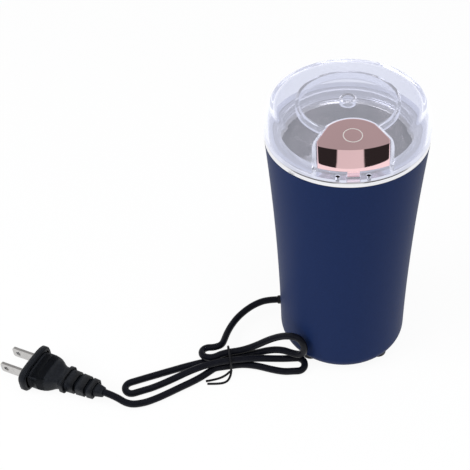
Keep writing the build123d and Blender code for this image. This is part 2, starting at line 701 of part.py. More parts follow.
def button_outline(grow):
    """Plan of the button, grown by a distance and open past the lid's front."""
    front = RIM_RADIUS + 2 * OVERRUN
    plan = make_face([
        Line((-BUTTON_FRONT_HALF, -front), (-BUTTON_FRONT_HALF, -BUTTON_FRONT_Y)),
        Line((-BUTTON_FRONT_HALF, -BUTTON_FRONT_Y), (-BUTTON_REAR_HALF, -BUTTON_REAR_Y)),
        ThreePointArc((-BUTTON_REAR_HALF, -BUTTON_REAR_Y), (0, -BUTTON_BACK_Y),
                      (BUTTON_REAR_HALF, -BUTTON_REAR_Y)),
        Line((BUTTON_REAR_HALF, -BUTTON_REAR_Y), (BUTTON_FRONT_HALF, -BUTTON_FRONT_Y)),
        Line((BUTTON_FRONT_HALF, -BUTTON_FRONT_Y), (BUTTON_FRONT_HALF, -front)),
        Line((BUTTON_FRONT_HALF, -front), (-BUTTON_FRONT_HALF, -front)),
    ])
    return offset(plan, grow, kind=Kind.INTERSECTION) if grow else plan


def button_prism(grow, low, high):
    """Upright prism of the button's plan between two heights."""
    return Pos(0, 0, low) * extrude(button_outline(grow), high - low)


def make_lid():
    """Clear lid: domed shell, bottom web and locating lip, inner rib ring, boss and button pocket."""
    skin = lid_solid(0, LID_BASE)
    hollow = lid_solid(LID_WALL, LID_BASE - OVERRUN)
    shell = skin - hollow
    lip_outer = BOWL_MOUTH_RADIUS - LID_LIP_GAP
    lip_inner = lip_outer - LID_LIP_WALL
    shell += ring(RIM_RADIUS - LID_WALL / 2, lip_inner, LID_BASE, LID_FLOOR)
    shell += ring(lip_outer, lip_inner, LID_BASE - LID_LIP_DEPTH, LID_FLOOR)
    hang = LID_BASE + LID_SHOULDER_HEIGHT - LID_RIB_DROP
    rib = ring(LID_RIB_RADIUS, LID_RIB_RADIUS - LID_RIB_WALL, hang, LID_TOP)
    boss = ring(LID_BOSS_RADIUS, LID_BOSS_BORE, LID_TOP - LID_WALL - LID_BOSS_DROP, LID_TOP - LID_WALL / 2)
    walls = button_prism(BUTTON_GAP + POCKET_WALL, LID_BASE, LID_TOP)
    rim = lid_solid(LID_WALL / 2, LID_BASE)
    for inner in (rib, walls, boss):
        shell += inner & rim
    shell -= button_prism(BUTTON_GAP, LID_FLOOR, LID_TOP + OVERRUN)
    half = PLUNGER_WIDTH / 2 + BUTTON_GAP
    middle = -(ROD_HEAD_Y + ROD_THICKNESS / 2)
    reach = PLUNGER_THICKNESS / 2 + BUTTON_GAP
    shell -= block((-half, half), (middle - reach, middle + reach),
                   (LID_BASE - OVERRUN, LID_FLOOR + OVERRUN))
    for x in (-PIN_SPREAD, PIN_SPREAD):
        hole = PIN_RADIUS + PIN_CLEARANCE
        shell -= cylinder(hole, LID_BASE - OVERRUN, LID_FLOOR + OVERRUN, x, -PIN_Y)
    for x in (-SHOULDER_SPREAD, SHOULDER_SPREAD):
        shell += cylinder(SHOULDER_BOSS_RADIUS, LID_BASE, LID_FLOOR + SHOULDER_BOSS, x, -SHOULDER_Y)
        shell -= cylinder(SHOULDER_THREAD_RADIUS + RUNNING_GAP, LID_FLOOR, LID_TOP, x, -SHOULDER_Y)
    return shell


def make_button_cap():
    """Plated button cap: a hollow piece of the lid's own domed and tapered skin."""
    body = button_prism(0, BUTTON_BOTTOM, LID_TOP + OVERRUN) & lid_solid(0, LID_BASE)
    inner = button_prism(-BUTTON_WALL, BUTTON_BOTTOM - OVERRUN, LID_TOP)
    return body - (inner & lid_solid(BUTTON_WALL, LID_BASE))


def make_button_carrier():
    """Inner carrier: a plate on the shoulder screws with the plunger tab that meets the switch rod."""
    plate = button_prism(-BUTTON_WALL - CARRIER_GAP, CARRIER_BOTTOM, CARRIER_TOP)
    plate &= cylinder(CARRIER_FRONT_RADIUS, CARRIER_BOTTOM - OVERRUN, CARRIER_TOP + OVERRUN)
    middle = -(ROD_HEAD_Y + ROD_THICKNESS / 2)
    half = PLUNGER_THICKNESS / 2
    body = plate + block((-PLUNGER_WIDTH / 2, PLUNGER_WIDTH / 2), (middle - half, middle + half),
                         (RING_TOP + PLUNGER_LIFT, CARRIER_TOP))
    for x in (-SHOULDER_SPREAD, SHOULDER_SPREAD):
        hole = SHOULDER_RADIUS + SHOULDER_CLEARANCE
        body -= cylinder(hole, CARRIER_BOTTOM - OVERRUN, CARRIER_TOP + OVERRUN, x, -SHOULDER_Y)
    return body


def make_shoulder_screws():
    """Shoulder screws in the lid's bosses that hold the carrier down and guide it."""
    seat = LID_FLOOR + SHOULDER_BOSS
    head = CARRIER_TOP + SEAT_GAP
    screws = []
    for x in (-SHOULDER_SPREAD, SHOULDER_SPREAD):
        body = cylinder(SHOULDER_THREAD_RADIUS, LID_FLOOR, seat, x, -SHOULDER_Y)
        body += cylinder(SHOULDER_RADIUS, seat, head, x, -SHOULDER_Y)
        body += cylinder(SHOULDER_HEAD_RADIUS, head, head + SHOULDER_HEAD, x, -SHOULDER_Y)
        screws.append(body)
    return screws


def make_switch_rod():
    """Flat rod with a jog: its head lies in the ring's slot and its foot pin enters the switch."""
    far = -(ROD_HEAD_Y + ROD_THICKNESS)
    near = -ROD_HEAD_Y
    lower_far = -(ROD_LOWER_Y + ROD_THICKNESS)
    lower_near = -ROD_LOWER_Y
    jog = ROD_JOG_TOP - ROD_JOG_HEIGHT
    toe = -SWITCH_Y + ROD_PIN_RADIUS + ROD_THICKNESS
    profile = [
        (far, RING_TOP), (near, RING_TOP), (near, ROD_JOG_TOP), (lower_near, jog),
        (lower_near, ROD_FOOT_LOW + ROD_FOOT_HEIGHT), (toe, ROD_FOOT_LOW + ROD_FOOT_HEIGHT),
        (toe, ROD_FOOT_LOW), (lower_far, ROD_FOOT_LOW), (lower_far, jog), (far, ROD_JOG_TOP),
    ]
    rod = extrude(Plane.YZ * make_face(Polyline(*profile, close=True)), ROD_WIDTH / 2, both=True)
    pin = cylinder(ROD_PIN_RADIUS, ROD_FOOT_LOW - ROD_PIN_LENGTH, ROD_FOOT_LOW, 0, -SWITCH_Y)
    return rod + pin


def make_switch():
    """Push switch with a guide hole for the rod's pin and two terminals."""
    half = SWITCH_WIDTH / 2
    depth = SWITCH_DEPTH / 2
    low = SWITCH_TOP - SWITCH_HEIGHT
    body = block((-half, half), (-SWITCH_Y - depth, -SWITCH_Y + depth), (low, SWITCH_TOP))
    body = fillet(body.edges().filter_by(Axis.Z), COMPONENT_EDGE)
    hole = ROD_PIN_RADIUS + SWITCH_HOLE_GAP
    body -= cylinder(hole, SWITCH_TOP - SWITCH_HOLE_DEPTH, SWITCH_TOP + OVERRUN, 0, -SWITCH_Y)
    for x in (-SWITCH_SCREW_SPREAD, SWITCH_SCREW_SPREAD):
        terminal = block((x - SWITCH_TERMINAL_WIDTH / 2, x + SWITCH_TERMINAL_WIDTH / 2),
                         (-SWITCH_Y - SWITCH_TERMINAL_THICKNESS / 2,
                          -SWITCH_Y + SWITCH_TERMINAL_THICKNESS / 2),
                         (low - SWITCH_TERMINAL_LENGTH, low))
        body += terminal
        body -= switch_screw_hole(x)
    return body


def switch_screw_hole(x):
    """Cross hole for a switch screw at one side."""
    hole = Cylinder(SWITCH_SCREW_RADIUS + RUNNING_GAP, 4 * SWITCH_DEPTH)
    return Pos(x, -SWITCH_Y, SWITCH_TOP - SWITCH_HEIGHT / 2) * Rot(QUARTER_TURN, 0, 0) * hole


def make_switch_screws():
    """Screws that hold the switch to the bracket's tab."""
    front = -SWITCH_Y - SWITCH_DEPTH / 2
    length = SWITCH_DEPTH + BRACKET_TAB_THICKNESS
    one = screw(SWITCH_SCREW_RADIUS, length, SWITCH_SCREW_HEAD_RADIUS, SWITCH_SCREW_HEAD)
    height = SWITCH_TOP - SWITCH_HEIGHT / 2
    turned = Rot(-QUARTER_TURN, 0, 0) * one
    return [Pos(x, front, height) * turned for x in (-SWITCH_SCREW_SPREAD, SWITCH_SCREW_SPREAD)]


def bracket_screw_places():
    """Centres of the bracket screws."""
    return [polar(BRACKET_SCREW_CIRCLE, a) for a in around(BRACKET_SCREW_COUNT, QUARTER_TURN)]


def make_bracket():
    """Moulded bracket that carries the bowl on a cup wall and the motor underneath."""
    plate = cylinder(BRACKET_RADIUS, BRACKET_LOW, BRACKET_TOP)
    plate += ring(BRACKET_CUP_RADIUS, BRACKET_CUP_RADIUS - BRACKET_CUP_WALL, BRACKET_TOP,
                  BOWL_FLOOR - BOWL_SHEET)
    tab_near = -SWITCH_Y + SWITCH_DEPTH / 2
    half = BRACKET_TAB_WIDTH / 2
    plate += block((-half, half), (tab_near, tab_near + BRACKET_TAB_THICKNESS),
                   (BRACKET_LOW - BRACKET_TAB_LENGTH, BRACKET_TOP))
    for angle in around(BRACKET_SCREW_COUNT, BRACKET_RIB_ANGLE):
        rib = block((BRACKET_CUP_RADIUS - BRACKET_CUP_WALL / 2, BRACKET_RADIUS - BRACKET_RIB_WIDTH),
                    (-BRACKET_RIB_WIDTH / 2, BRACKET_RIB_WIDTH / 2),
                    (BRACKET_TOP, BRACKET_TOP + BRACKET_THICKNESS))
        plate += Rot(0, 0, angle) * rib
    plate -= cylinder(CAN_NECK_RADIUS + SEAT_GAP, BRACKET_LOW - OVERRUN, BRACKET_TOP + OVERRUN)
    for x, y, _ in bracket_screw_places():
        plate -= cylinder(BRACKET_SCREW_RADIUS + RUNNING_GAP, BRACKET_LOW - OVERRUN, BRACKET_TOP + OVERRUN,
                          x, y)
    for x in (-MOTOR_SCREW_SPREAD, MOTOR_SCREW_SPREAD):
        plate -= cylinder(MOTOR_SCREW_RADIUS + RUNNING_GAP, BRACKET_LOW - OVERRUN, BRACKET_TOP + OVERRUN, x)
    for angle in around(BRACKET_WINDOW_COUNT, BRACKET_RIB_ANGLE):
        x, y, _ = polar(BRACKET_WINDOW_CIRCLE, angle)
        plate -= cylinder(BRACKET_WINDOW_RADIUS, BRACKET_LOW - OVERRUN, BRACKET_TOP + OVERRUN, x, y)
    notch = ROD_WIDTH / 2 + BRACKET_NOTCH_GAP
    plate -= block((-notch, notch), (-RIM_RADIUS, -ROD_LOWER_Y + BRACKET_NOTCH_GAP),
                   (BRACKET_LOW - OVERRUN, BRACKET_TOP + OVERRUN))
    for x in (-SWITCH_SCREW_SPREAD, SWITCH_SCREW_SPREAD):
        plate -= switch_screw_hole(x)
    return plate


def make_bracket_screws():
    """Screws from above through the bracket into the housing's columns."""
    length = BRACKET_THICKNESS + BRACKET_SCREW_BITE
    one = screw(BRACKET_SCREW_RADIUS, length, BRACKET_SCREW_HEAD_RADIUS, BRACKET_SCREW_HEAD)
    return [Pos(x, y, BRACKET_TOP) * Rot(HALF_TURN, 0, 0) * one for x, y, _ in bracket_screw_places()]


def make_motor_can():
    """Drawn motor can, open below, with a bearing neck that passes the bracket."""
    bore = BEARING_RADIUS + RUNNING_GAP
    neck = CAN_TOP + CAN_NECK_HEIGHT
    inner = CAN_RADIUS - CAN_WALL
    points = [
        (bore, neck), (CAN_NECK_RADIUS, neck), (CAN_NECK_RADIUS, CAN_TOP), (CAN_RADIUS, CAN_TOP),
        (CAN_RADIUS, CAN_LOW), (inner, CAN_LOW), (inner, CAN_TOP - CAN_WALL), (bore, CAN_TOP - CAN_WALL),
    ]
    can = lathe(points, [0, CAN_EDGE / 2, 0, CAN_EDGE, 0, 0, 0, 0])
    for x in (-MOTOR_SCREW_SPREAD, MOTOR_SCREW_SPREAD):
        can -= cylinder(MOTOR_SCREW_RADIUS + RUNNING_GAP, CAN_TOP - 2 * CAN_WALL, CAN_TOP + OVERRUN, x)
    return can


def make_motor_screws():
    """Screws from above through the bracket into the can's top."""
    length = BRACKET_THICKNESS + CAN_WALL
    one = Rot(HALF_TURN, 0, 0) * screw(MOTOR_SCREW_RADIUS, length, MOTOR_SCREW_HEAD_RADIUS, MOTOR_SCREW_HEAD)
    return [Pos(x, 0, BRACKET_TOP) * one for x in (-MOTOR_SCREW_SPREAD, MOTOR_SCREW_SPREAD)]


def make_magnets():
    """Two arc magnets on the can's wall."""
    outer = CAN_RADIUS - CAN_WALL - RUNNING_GAP
    section = Plane.XZ * make_face(Polyline(
        (outer - MAGNET_THICKNESS, MAGNET_LOW), (outer, MAGNET_LOW), (outer, MAGNET_LOW + MAGNET_LENGTH),
        (outer - MAGNET_THICKNESS, MAGNET_LOW + MAGNET_LENGTH), close=True))
    one = Rot(0, 0, -MAGNET_ANGLE / 2) * revolve(section, Axis.Z, MAGNET_ANGLE)
    return [Rot(0, 0, a) * one for a in around(2, QUARTER_TURN)]


def brush_height():
    """Middle height of the carbon brushes on the commutator."""
    return COMMUTATOR_LOW + COMMUTATOR_LENGTH / 2


def brush_span():
    """Radii where a brush starts and ends."""
    start = COMMUTATOR_RADIUS + BRUSH_GAP
    return start, start + BRUSH_LENGTH


def make_end_cap():
    """Plastic end cap with the lower bearing boss and two brush holders."""
    bore = BEARING_RADIUS + RUNNING_GAP
    inner = CAN_RADIUS - CAN_WALL - SEAT_GAP
    boss_low = END_CAP_LOW - END_CAP_BOSS_DROP
    plug = CAN_LOW + END_CAP_PLUG
    points = [
        (bore, boss_low), (END_CAP_BOSS_RADIUS, boss_low), (END_CAP_BOSS_RADIUS, END_CAP_LOW),
        (CAN_RADIUS, END_CAP_LOW), (CAN_RADIUS, CAN_LOW), (inner, CAN_LOW), (inner, plug),
        (inner - CAN_WALL, plug), (inner - CAN_WALL, CAN_LOW), (bore, CAN_LOW),
    ]
    cap = lathe(points)
    start, end = brush_span()
    half = BRUSH_WIDTH / 2 + HOLDER_WALL
    top = brush_height() + BRUSH_HEIGHT / 2 + HOLDER_WALL
    for angle in around(2):
        holder = block((start + HOLDER_WALL, end + HOLDER_WALL), (-half, half), (CAN_LOW, top))
        slide = BRUSH_WIDTH / 2 + RUNNING_GAP
        rise = BRUSH_HEIGHT / 2 + RUNNING_GAP
        holder -= block((start, end + RUNNING_GAP), (-slide, slide),
                        (brush_height() - rise, brush_height() + rise))
        cap += Rot(0, 0, angle) * holder
    return cap


def make_brushes():
    """Two carbon brushes in the end cap's holders."""
    start, end = brush_span()
    one = block((start, end), (-BRUSH_WIDTH / 2, BRUSH_WIDTH / 2),
                (brush_height() - BRUSH_HEIGHT / 2, brush_height() + BRUSH_HEIGHT / 2))
    return [Rot(0, 0, a) * one for a in around(2)]


def make_upper_bearing():
    """Bush in the can's neck."""
    high = CAN_TOP + CAN_NECK_HEIGHT
    return ring(BEARING_RADIUS, SHAFT_RADIUS + RUNNING_GAP, high - BEARING_LENGTH, high)


def make_lower_bearing():
    """Bush in the end cap's boss."""
    low = END_CAP_LOW - END_CAP_BOSS_DROP
    return ring(BEARING_RADIUS, SHAFT_RADIUS + RUNNING_GAP, low, low + BEARING_LENGTH)


def seal_top():
    """Top of the shaft seal above the bowl's hub."""
    return BOWL_FLOOR + BOWL_HUB_HEIGHT + SEAL_FLANGE


def collar_low():
    """Underside of the blade collar."""
    return seal_top() + COLLAR_GAP


def blade_low():
    """Underside of the blade's flat middle."""
    return collar_low() + COLLAR_HEIGHT


def nut_low():
    """Underside of the blade nut."""
    return blade_low() + BLADE_THICKNESS


def fan_top():
    """Top of the fan's hub under the end cap's boss."""
    return END_CAP_LOW - END_CAP_BOSS_DROP - FAN_TOP_GAP


def make_seal():
    """Rubber lip seal gripped in the hole of the bowl's hub."""
    hub = BOWL_FLOOR + BOWL_HUB_HEIGHT
    inner = SHAFT_RADIUS + RUNNING_GAP
    neck = BOWL_HOLE_RADIUS - RUNNING_GAP
    flange = BOWL_HOLE_RADIUS + SEAL_LIP
    low = hub - BOWL_SHEET - SEAL_DEPTH
    high = seal_top()
    return lathe([(inner, low), (neck, low), (neck, hub), (flange, hub), (flange, high), (inner, high)])


def make_shaft():
    """Motor shaft from under the fan up into the blade nut."""
    low = fan_top() - FAN_DISC - FAN_BLADE_HEIGHT - SHAFT_TAIL
    return cylinder(SHAFT_RADIUS, low, nut_low() + SHAFT_INTO_NUT)


def core_radius():
    """Outer radius of the armature under the magnets."""
    return CAN_RADIUS - CAN_WALL - RUNNING_GAP - MAGNET_THICKNESS - CORE_GAP


def slot_profile(shrink):
    """Round pocket of one armature slot, moved in by a gap."""
    return Pos(CORE_SLOT_ROOT + CORE_SLOT_POCKET, 0) * Circle(CORE_SLOT_POCKET - shrink)


def make_core():
    """Laminated armature core with slots for the winding."""
    high = CORE_LOW + CORE_LENGTH
    core = ring(core_radius(), SHAFT_RADIUS + RUNNING_GAP / 2, CORE_LOW, high)
    for angle in around(CORE_SLOTS):
        pocket = Pos(0, 0, CORE_LOW - OVERRUN) * extrude(slot_profile(0), CORE_LENGTH + 2 * OVERRUN)
        mouth = block((CORE_SLOT_ROOT + CORE_SLOT_POCKET, RIM_RADIUS),
                      (-CORE_SLOT_WIDTH / 2, CORE_SLOT_WIDTH / 2),
                      (CORE_LOW - OVERRUN, high + OVERRUN))
        core -= Rot(0, 0, angle) * (pocket + mouth)
    return core


def make_winding():
    """Copper winding: bundles in the slots joined by end turns above and below the core."""
    high = CORE_LOW + CORE_LENGTH
    outer = CORE_SLOT_ROOT + 2 * CORE_SLOT_POCKET - 3 * WINDING_GAP
    coil = ring(outer, WINDING_END_INNER, high, high + WINDING_END_HEIGHT)
    coil += ring(outer, WINDING_END_INNER, CORE_LOW - WINDING_END_HEIGHT, CORE_LOW)
    levels = coil.edges().group_by(Axis.Z)
    coil = fillet(levels[-1] + levels[0], WINDING_END_HEIGHT / 3)
    for angle in around(CORE_SLOTS):
        bundle = Pos(0, 0, CORE_LOW) * extrude(slot_profile(WINDING_GAP), CORE_LENGTH)
        coil += Rot(0, 0, angle) * bundle
    return coil


def make_commutator():
    """Commutator with slots between its bars."""
    body = ring(COMMUTATOR_RADIUS, SHAFT_RADIUS + RUNNING_GAP / 2, COMMUTATOR_LOW,
                COMMUTATOR_LOW + COMMUTATOR_LENGTH)
    for angle in around(COMMUTATOR_BARS, COMMUTATOR_SLOT_ANGLE):
        cut = block((COMMUTATOR_RADIUS - COMMUTATOR_SLOT_DEPTH, COMMUTATOR_RADIUS + OVERRUN),
                    (-COMMUTATOR_SLOT / 2, COMMUTATOR_SLOT / 2),
                    (COMMUTATOR_LOW - OVERRUN, COMMUTATOR_LOW + COMMUTATOR_LENGTH + OVERRUN))
        body -= Rot(0, 0, angle) * cut
    return body


def make_fan():
    """Radial fan on the shaft's lower end, blades hanging under a disc."""
    disc_low = fan_top() - FAN_DISC
    low = disc_low - FAN_BLADE_HEIGHT
    fan = cylinder(FAN_RADIUS, disc_low, fan_top()) + cylinder(FAN_HUB_RADIUS, low, fan_top())
    for angle in around(FAN_BLADE_COUNT):
        blade = block((0, FAN_RADIUS - FAN_HUB_RADIUS), (-FAN_BLADE_THICKNESS / 2, FAN_BLADE_THICKNESS / 2),
                      (low, disc_low))
        turned = Pos(FAN_HUB_RADIUS - FAN_BLADE_THICKNESS, 0, 0) * Rot(0, 0, FAN_BLADE_SWEEP) * blade
        fan += (Rot(0, 0, angle) * turned) & cylinder(FAN_RADIUS, low, disc_low)
    return fan - cylinder(SHAFT_RADIUS + RUNNING_GAP / 2, low - OVERRUN, fan_top() + OVERRUN)


def make_collar():
    """Spacer under the blade."""
    body = ring(COLLAR_RADIUS, SHAFT_RADIUS + RUNNING_GAP / 2, collar_low(), blade_low())
    return body


def make_blade():
    """Two-armed blade: a flat middle with arms that rise, narrow and twist to sharp leading edges."""
    low = blade_low()
    middle = low + BLADE_THICKNESS / 2
    blade = block((-BLADE_FLAT_HALF, BLADE_FLAT_HALF), (-BLADE_ROOT_WIDTH / 2, BLADE_ROOT_WIDTH / 2),
                  (low, low + BLADE_THICKNESS))
    for angle, rise in ((0, BLADE_RISE), (HALF_TURN, -BLADE_DROP)):
        root_plane = Plane((BLADE_FLAT_HALF, 0, middle), (0, 1, 0), (1, 0, 0))
        root = root_plane * Rectangle(BLADE_ROOT_WIDTH, BLADE_THICKNESS)
        tip_plane = Plane((BLADE_SPAN, 0, middle + rise), (0, 1, 0), (1, 0, 0))
        tip = tip_plane * Rot(0, 0, BLADE_TWIST) * Rectangle(BLADE_TIP_WIDTH, BLADE_THICKNESS)
        arm = loft([root.face(), tip.face()], ruled=True)
        blade += Rot(0, 0, angle) * arm
    return blade - cylinder(SHAFT_RADIUS + RUNNING_GAP / 2, low - BLADE_RISE, low + 2 * BLADE_RISE)


def make_nut():
    """Domed cap nut on the shaft's top."""
    low = nut_low()
    across = NUT_FLATS / math.sqrt(3)
    hexagon = extrude(RegularPolygon(across, 6), NUT_HEIGHT + NUT_DOME)
    dome = NUT_HEIGHT + NUT_DOME
    crown = lathe([(0, 0), (across, 0), (across, NUT_HEIGHT - NUT_WALL_TOP), (NUT_FLATS / 2, NUT_HEIGHT),
                   (NUT_FLATS / 2 - NUT_WALL_TOP, dome), (0, dome)], [0, 0, 0, 0, NUT_ROUND, 0])
    nut = Pos(0, 0, low) * (hexagon & crown)
    return nut - cylinder(SHAFT_RADIUS + RUNNING_GAP / 2, low - OVERRUN, low + SHAFT_INTO_NUT)


def standoff_places():
    """Two opposite corners of the circuit board."""
    x, y = BOARD_CENTRE
    dx = BOARD_SIZE[0] / 2 - BOARD_EDGE
    dy = BOARD_SIZE[1] / 2 - BOARD_EDGE
    return [(x - dx, y - dy), (x + dx, y + dy)]


def make_board():
    """Circuit board on the base plate's standoffs."""
    x, y = BOARD_CENTRE
    return extrude(Pos(x, y, BOARD_LOW) * RectangleRounded(*BOARD_SIZE, BOARD_EDGE / 2), BOARD_THICKNESS)


def make_board_components():
    """Capacitor, rectifier and terminal block on the board."""
    capacitor = cylinder(CAPACITOR_RADIUS, BOARD_TOP, BOARD_TOP + CAPACITOR_HEIGHT, *CAPACITOR_PLACE)
    capacitor = fillet(capacitor.edges().group_by(Axis.Z)[-1], COMPONENT_EDGE)
    parts = [capacitor]
    for size, place in ((RECTIFIER_SIZE, RECTIFIER_PLACE), (TERMINAL_SIZE, TERMINAL_PLACE)):
        one = Pos(place[0], place[1], BOARD_TOP + size[2] / 2) * Box(*size)
        parts.append(fillet(one.edges().group_by(Axis.Z)[-1], COMPONENT_EDGE))
    return parts


def along_cord(radius, start, end):
    """Round bar along the cord's entry axis, between two distances out from the middle."""
    length = end - start
    place = Pos(-(start + end) / 2, CORD_EXIT_Y, CORD_EXIT_Z)
    return place * Rot(0, QUARTER_TURN, 0) * Cylinder(radius, length)


def make_grommet():
    """Short rubber grommet with an inner flange, where the cord leaves the body."""
    flange_out = GROMMET_IN + GROMMET_FLANGE
    taper = Cone(GROMMET_RADIUS, GROMMET_TIP_RADIUS, GROMMET_OUT - flange_out)
    middle = -(GROMMET_OUT + flange_out) / 2
    body = Pos(middle, CORD_EXIT_Y, CORD_EXIT_Z) * Rot(0, -QUARTER_TURN, 0) * taper
    body += along_cord(GROMMET_FLANGE_RADIUS, GROMMET_IN, flange_out) & cup(HOUSING_WALL + SEAT_GAP)
    return body - along_cord(CORD_DIAMETER / 2 + RUNNING_GAP, GROMMET_IN - OVERRUN, GROMMET_OUT + OVERRUN)


def make_sheath():
    """Inner end of the cord's sheath, through the grommet to the clamp."""
    return along_cord(CORD_DIAMETER / 2, SHEATH_END, GROMMET_OUT)


def make_clamp():
    """Bridge that presses the cord on the base plate's saddle."""
    low = CORD_EXIT_Z - CORD_DIAMETER / 2 - RUNNING_GAP
    high = CORD_EXIT_Z + CORD_DIAMETER / 2 + CLAMP_CAP
    body = block((-CLAMP_OUT, -CLAMP_IN), (CORD_EXIT_Y - CLAMP_HALF, CORD_EXIT_Y + CLAMP_HALF), (low, high))
    half = CORD_DIAMETER / 2 + RUNNING_GAP
    body -= along_cord(half, CLAMP_IN - OVERRUN, CLAMP_OUT + OVERRUN)
    body -= block((-CLAMP_OUT - OVERRUN, -CLAMP_IN + OVERRUN), (CORD_EXIT_Y - half, CORD_EXIT_Y + half),
                  (low - OVERRUN, CORD_EXIT_Z))
    for side in (-1, 1):
        x = -(CLAMP_OUT + CLAMP_IN) / 2
        y = CORD_EXIT_Y + side * CLAMP_SCREW_SPREAD
        body -= cylinder(CLAMP_SCREW_RADIUS + RUNNING_GAP, low - OVERRUN, high + OVERRUN, x, y)
    return body & cup(HOUSING_WALL + SEAT_GAP)


def make_clamp_screws():
    """Screws through the clamp into the saddle."""
    high = CORD_EXIT_Z + CORD_DIAMETER / 2 + CLAMP_CAP
    low = CORD_EXIT_Z - CORD_DIAMETER / 2 - CLAMP_SCREW_BITE
    one = screw(CLAMP_SCREW_RADIUS, high - low, CLAMP_SCREW_HEAD_RADIUS, CLAMP_SCREW_HEAD)
    one = Rot(HALF_TURN, 0, 0) * one
    x = -(CLAMP_OUT + CLAMP_IN) / 2
    return [Pos(x, CORD_EXIT_Y + side * CLAMP_SCREW_SPREAD, high) * one for side in (-1, 1)]


def route_radii(points):
    """Largest even bend at each inner point of a route."""
    radii = []
    for before, here, after in zip(points, points[1:], points[2:]):
        first = Vector(*here) - Vector(*before)
        second = Vector(*after) - Vector(*here)
        turn = math.radians(first.get_angle(second))
        radii.append(BEND_SHARE * min(first.length, second.length) / math.tan(turn / 2))
    return radii


def round_tube(path, diameter):
    """Round tube swept along a path."""
    start = Plane(path @ 0, z_dir=path % 0)
    return sweep(start * Circle(diameter / 2), path=path)


def route_tube(name, points, diameter):
    """Tube along straight runs and tangent arcs, with its bend radii printed."""
    radii = route_radii(points)
    path = Wire(FilletPolyline(*points, radius=radii).edges())
    tube = round_tube(path, diameter)
    ideal = math.pi * diameter ** 2 / 4 * path.length
    print(name, "radii", [round(r, 1) for r in radii], "length", round(path.length, 1),
          "volume share", round(tube.volume / ideal, 4))
    return tube


def make_leads():
    """Inner leads: sheath to terminal block, and board to switch."""
    wires = []
    level = BOARD_TOP + TERMINAL_SIZE[2] / 2
    back = TERMINAL_PLACE[1] + TERMINAL_SIZE[1] / 2 + RUNNING_GAP
    for side in (-1, 1):
        y = CORD_EXIT_Y - side * LEAD_PITCH / 2
        x = TERMINAL_PLACE[0] + side * LEAD_PITCH
        start = -SHEATH_END + RUNNING_GAP
        wires.append([
            (start, y, CORD_EXIT_Z), (start + LEAD_RUN, y, CORD_EXIT_Z),
            (x, back + LEAD_RUN, level), (x, back, level),
        ])
    foot = SWITCH_TOP - SWITCH_HEIGHT - SWITCH_TERMINAL_LENGTH - RUNNING_GAP
    board_y = BOARD_CENTRE[1] - BOARD_SIZE[1] / 2 + LEAD_PITCH
    low = BOARD_TOP + RUNNING_GAP
    for side in (-1, 1):
        x = side * SWITCH_SCREW_SPREAD
        wires.append([
            (x, -SWITCH_Y, foot), (x, -SWITCH_Y, foot - 4 * LEAD_RUN),
            (x, board_y, low + 2 * LEAD_RUN), (x, board_y, low),
        ])
    paths = [Wire(FilletPolyline(*wire, radius=route_radii(wire)).edges()) for wire in wires]
    return [round_tube(path, LEAD_DIAMETER) for path in paths]


def axes_at(angle):
    """Unit vectors along and across a direction on the table."""
    turn = math.radians(angle)
    return Vector(math.cos(turn), math.sin(turn), 0), Vector(-math.sin(turn), math.cos(turn), 0)


def waist_point(strand):
    """Place and heading of one strand where the tie holds the hank."""
    along, across = axes_at(WAIST_ANGLE)
    layer, side = STRAND_SEATS[strand]
    height = CORD_FLOOR + WAIST_LIFT + layer * LAYER_PITCH
    place = Vector(*TIE_PLACE, height) + across * (side * COLUMN_PITCH / 2)
    return place, along if strand % 2 == 0 else along * -1


def hank_route():
    """Places and headings along the hank: loop side, loop end, loop side, waist and so on."""
    up = Vector(0, 0, 1)
    lead_end = Vector(*LEAD_ROUTE[-1])
    heading = (lead_end - Vector(*LEAD_ROUTE[-2])).normalized()
    route = [(lead_end, heading), (lead_end + heading * HANK_LEAD_IN, heading)]
    for loop in range(len(STRAND_SEATS)):
        along, across = axes_at(LOOP_ANGLE[loop])
        outward = along if loop % 2 else along * -1
        tilt = math.radians(LOOP_TILT[loop])
        pitch = math.radians(LOOP_PITCH[loop])
        wide = across * math.cos(tilt) + up * math.sin(tilt)
        middle = Vector(*TIE_PLACE, CORD_FLOOR + LOOP_RISE[loop]) + across * LOOP_MIDDLE[loop]
        flank = middle + outward * (LOOP_REACH[loop] - LOOP_SETBACK[loop])
        offset = wide * LOOP_HALF_WIDTH[loop]
        route.append((flank + offset, outward * math.cos(pitch) + up * math.sin(pitch)))
        route.append((middle + outward * LOOP_REACH[loop], wide * -1))
        route.append((flank - offset, outward * -1))
        route.append(waist_point(loop))
    place, heading = route[-1]
    route.append((place + heading * HANK_LEAD_OUT, heading))
    return route


def tail_route():
    """Points from the hank's end to the plug, straight at both ends."""
    place, heading = hank_route()[-1]
    along, _ = axes_at(PLUG_ANGLE)
    plug_end = Vector(*PLUG_FACE) + along * PLUG_LENGTH
    ends = [place, place + heading * TAIL_RUN], [plug_end + along * PLUG_RUN, plug_end]
    return [tuple(p) for p in ends[0]] + TAIL_POINTS + [tuple(p) for p in ends[1]]


def biarc(start, heading, end, end_heading):
    """Two tangent arcs between two places with headings, as (start, heading, end) triples."""
    chord = end - start
    both = heading + end_heading
    square = 2 * (heading.dot(end_heading) - 1)
    linear = -2 * chord.dot(both)
    constant = chord.dot(chord)
    if abs(square) < TOLERANCE:
        reach = -constant / linear
    else:
        root = math.sqrt(linear ** 2 - 4 * square * constant)
        reach = max((-linear + root) / (2 * square), (-linear - root) / (2 * square))
    knee = start + heading * reach
    end_knee = end - end_heading * reach
    middle = (knee + end_knee) / 2
    return [(start, heading, middle), (middle, (end_knee - knee).normalized(), end)]


def arc_edge(start, heading, end):
    """Edge from a start along a heading to an end: an arc, or a line where they are in line."""
    chord = end - start
    if chord.cross(heading).length < TOLERANCE * chord.length:
        return Line(start, end)
    return TangentArc(start, end, tangent=heading)


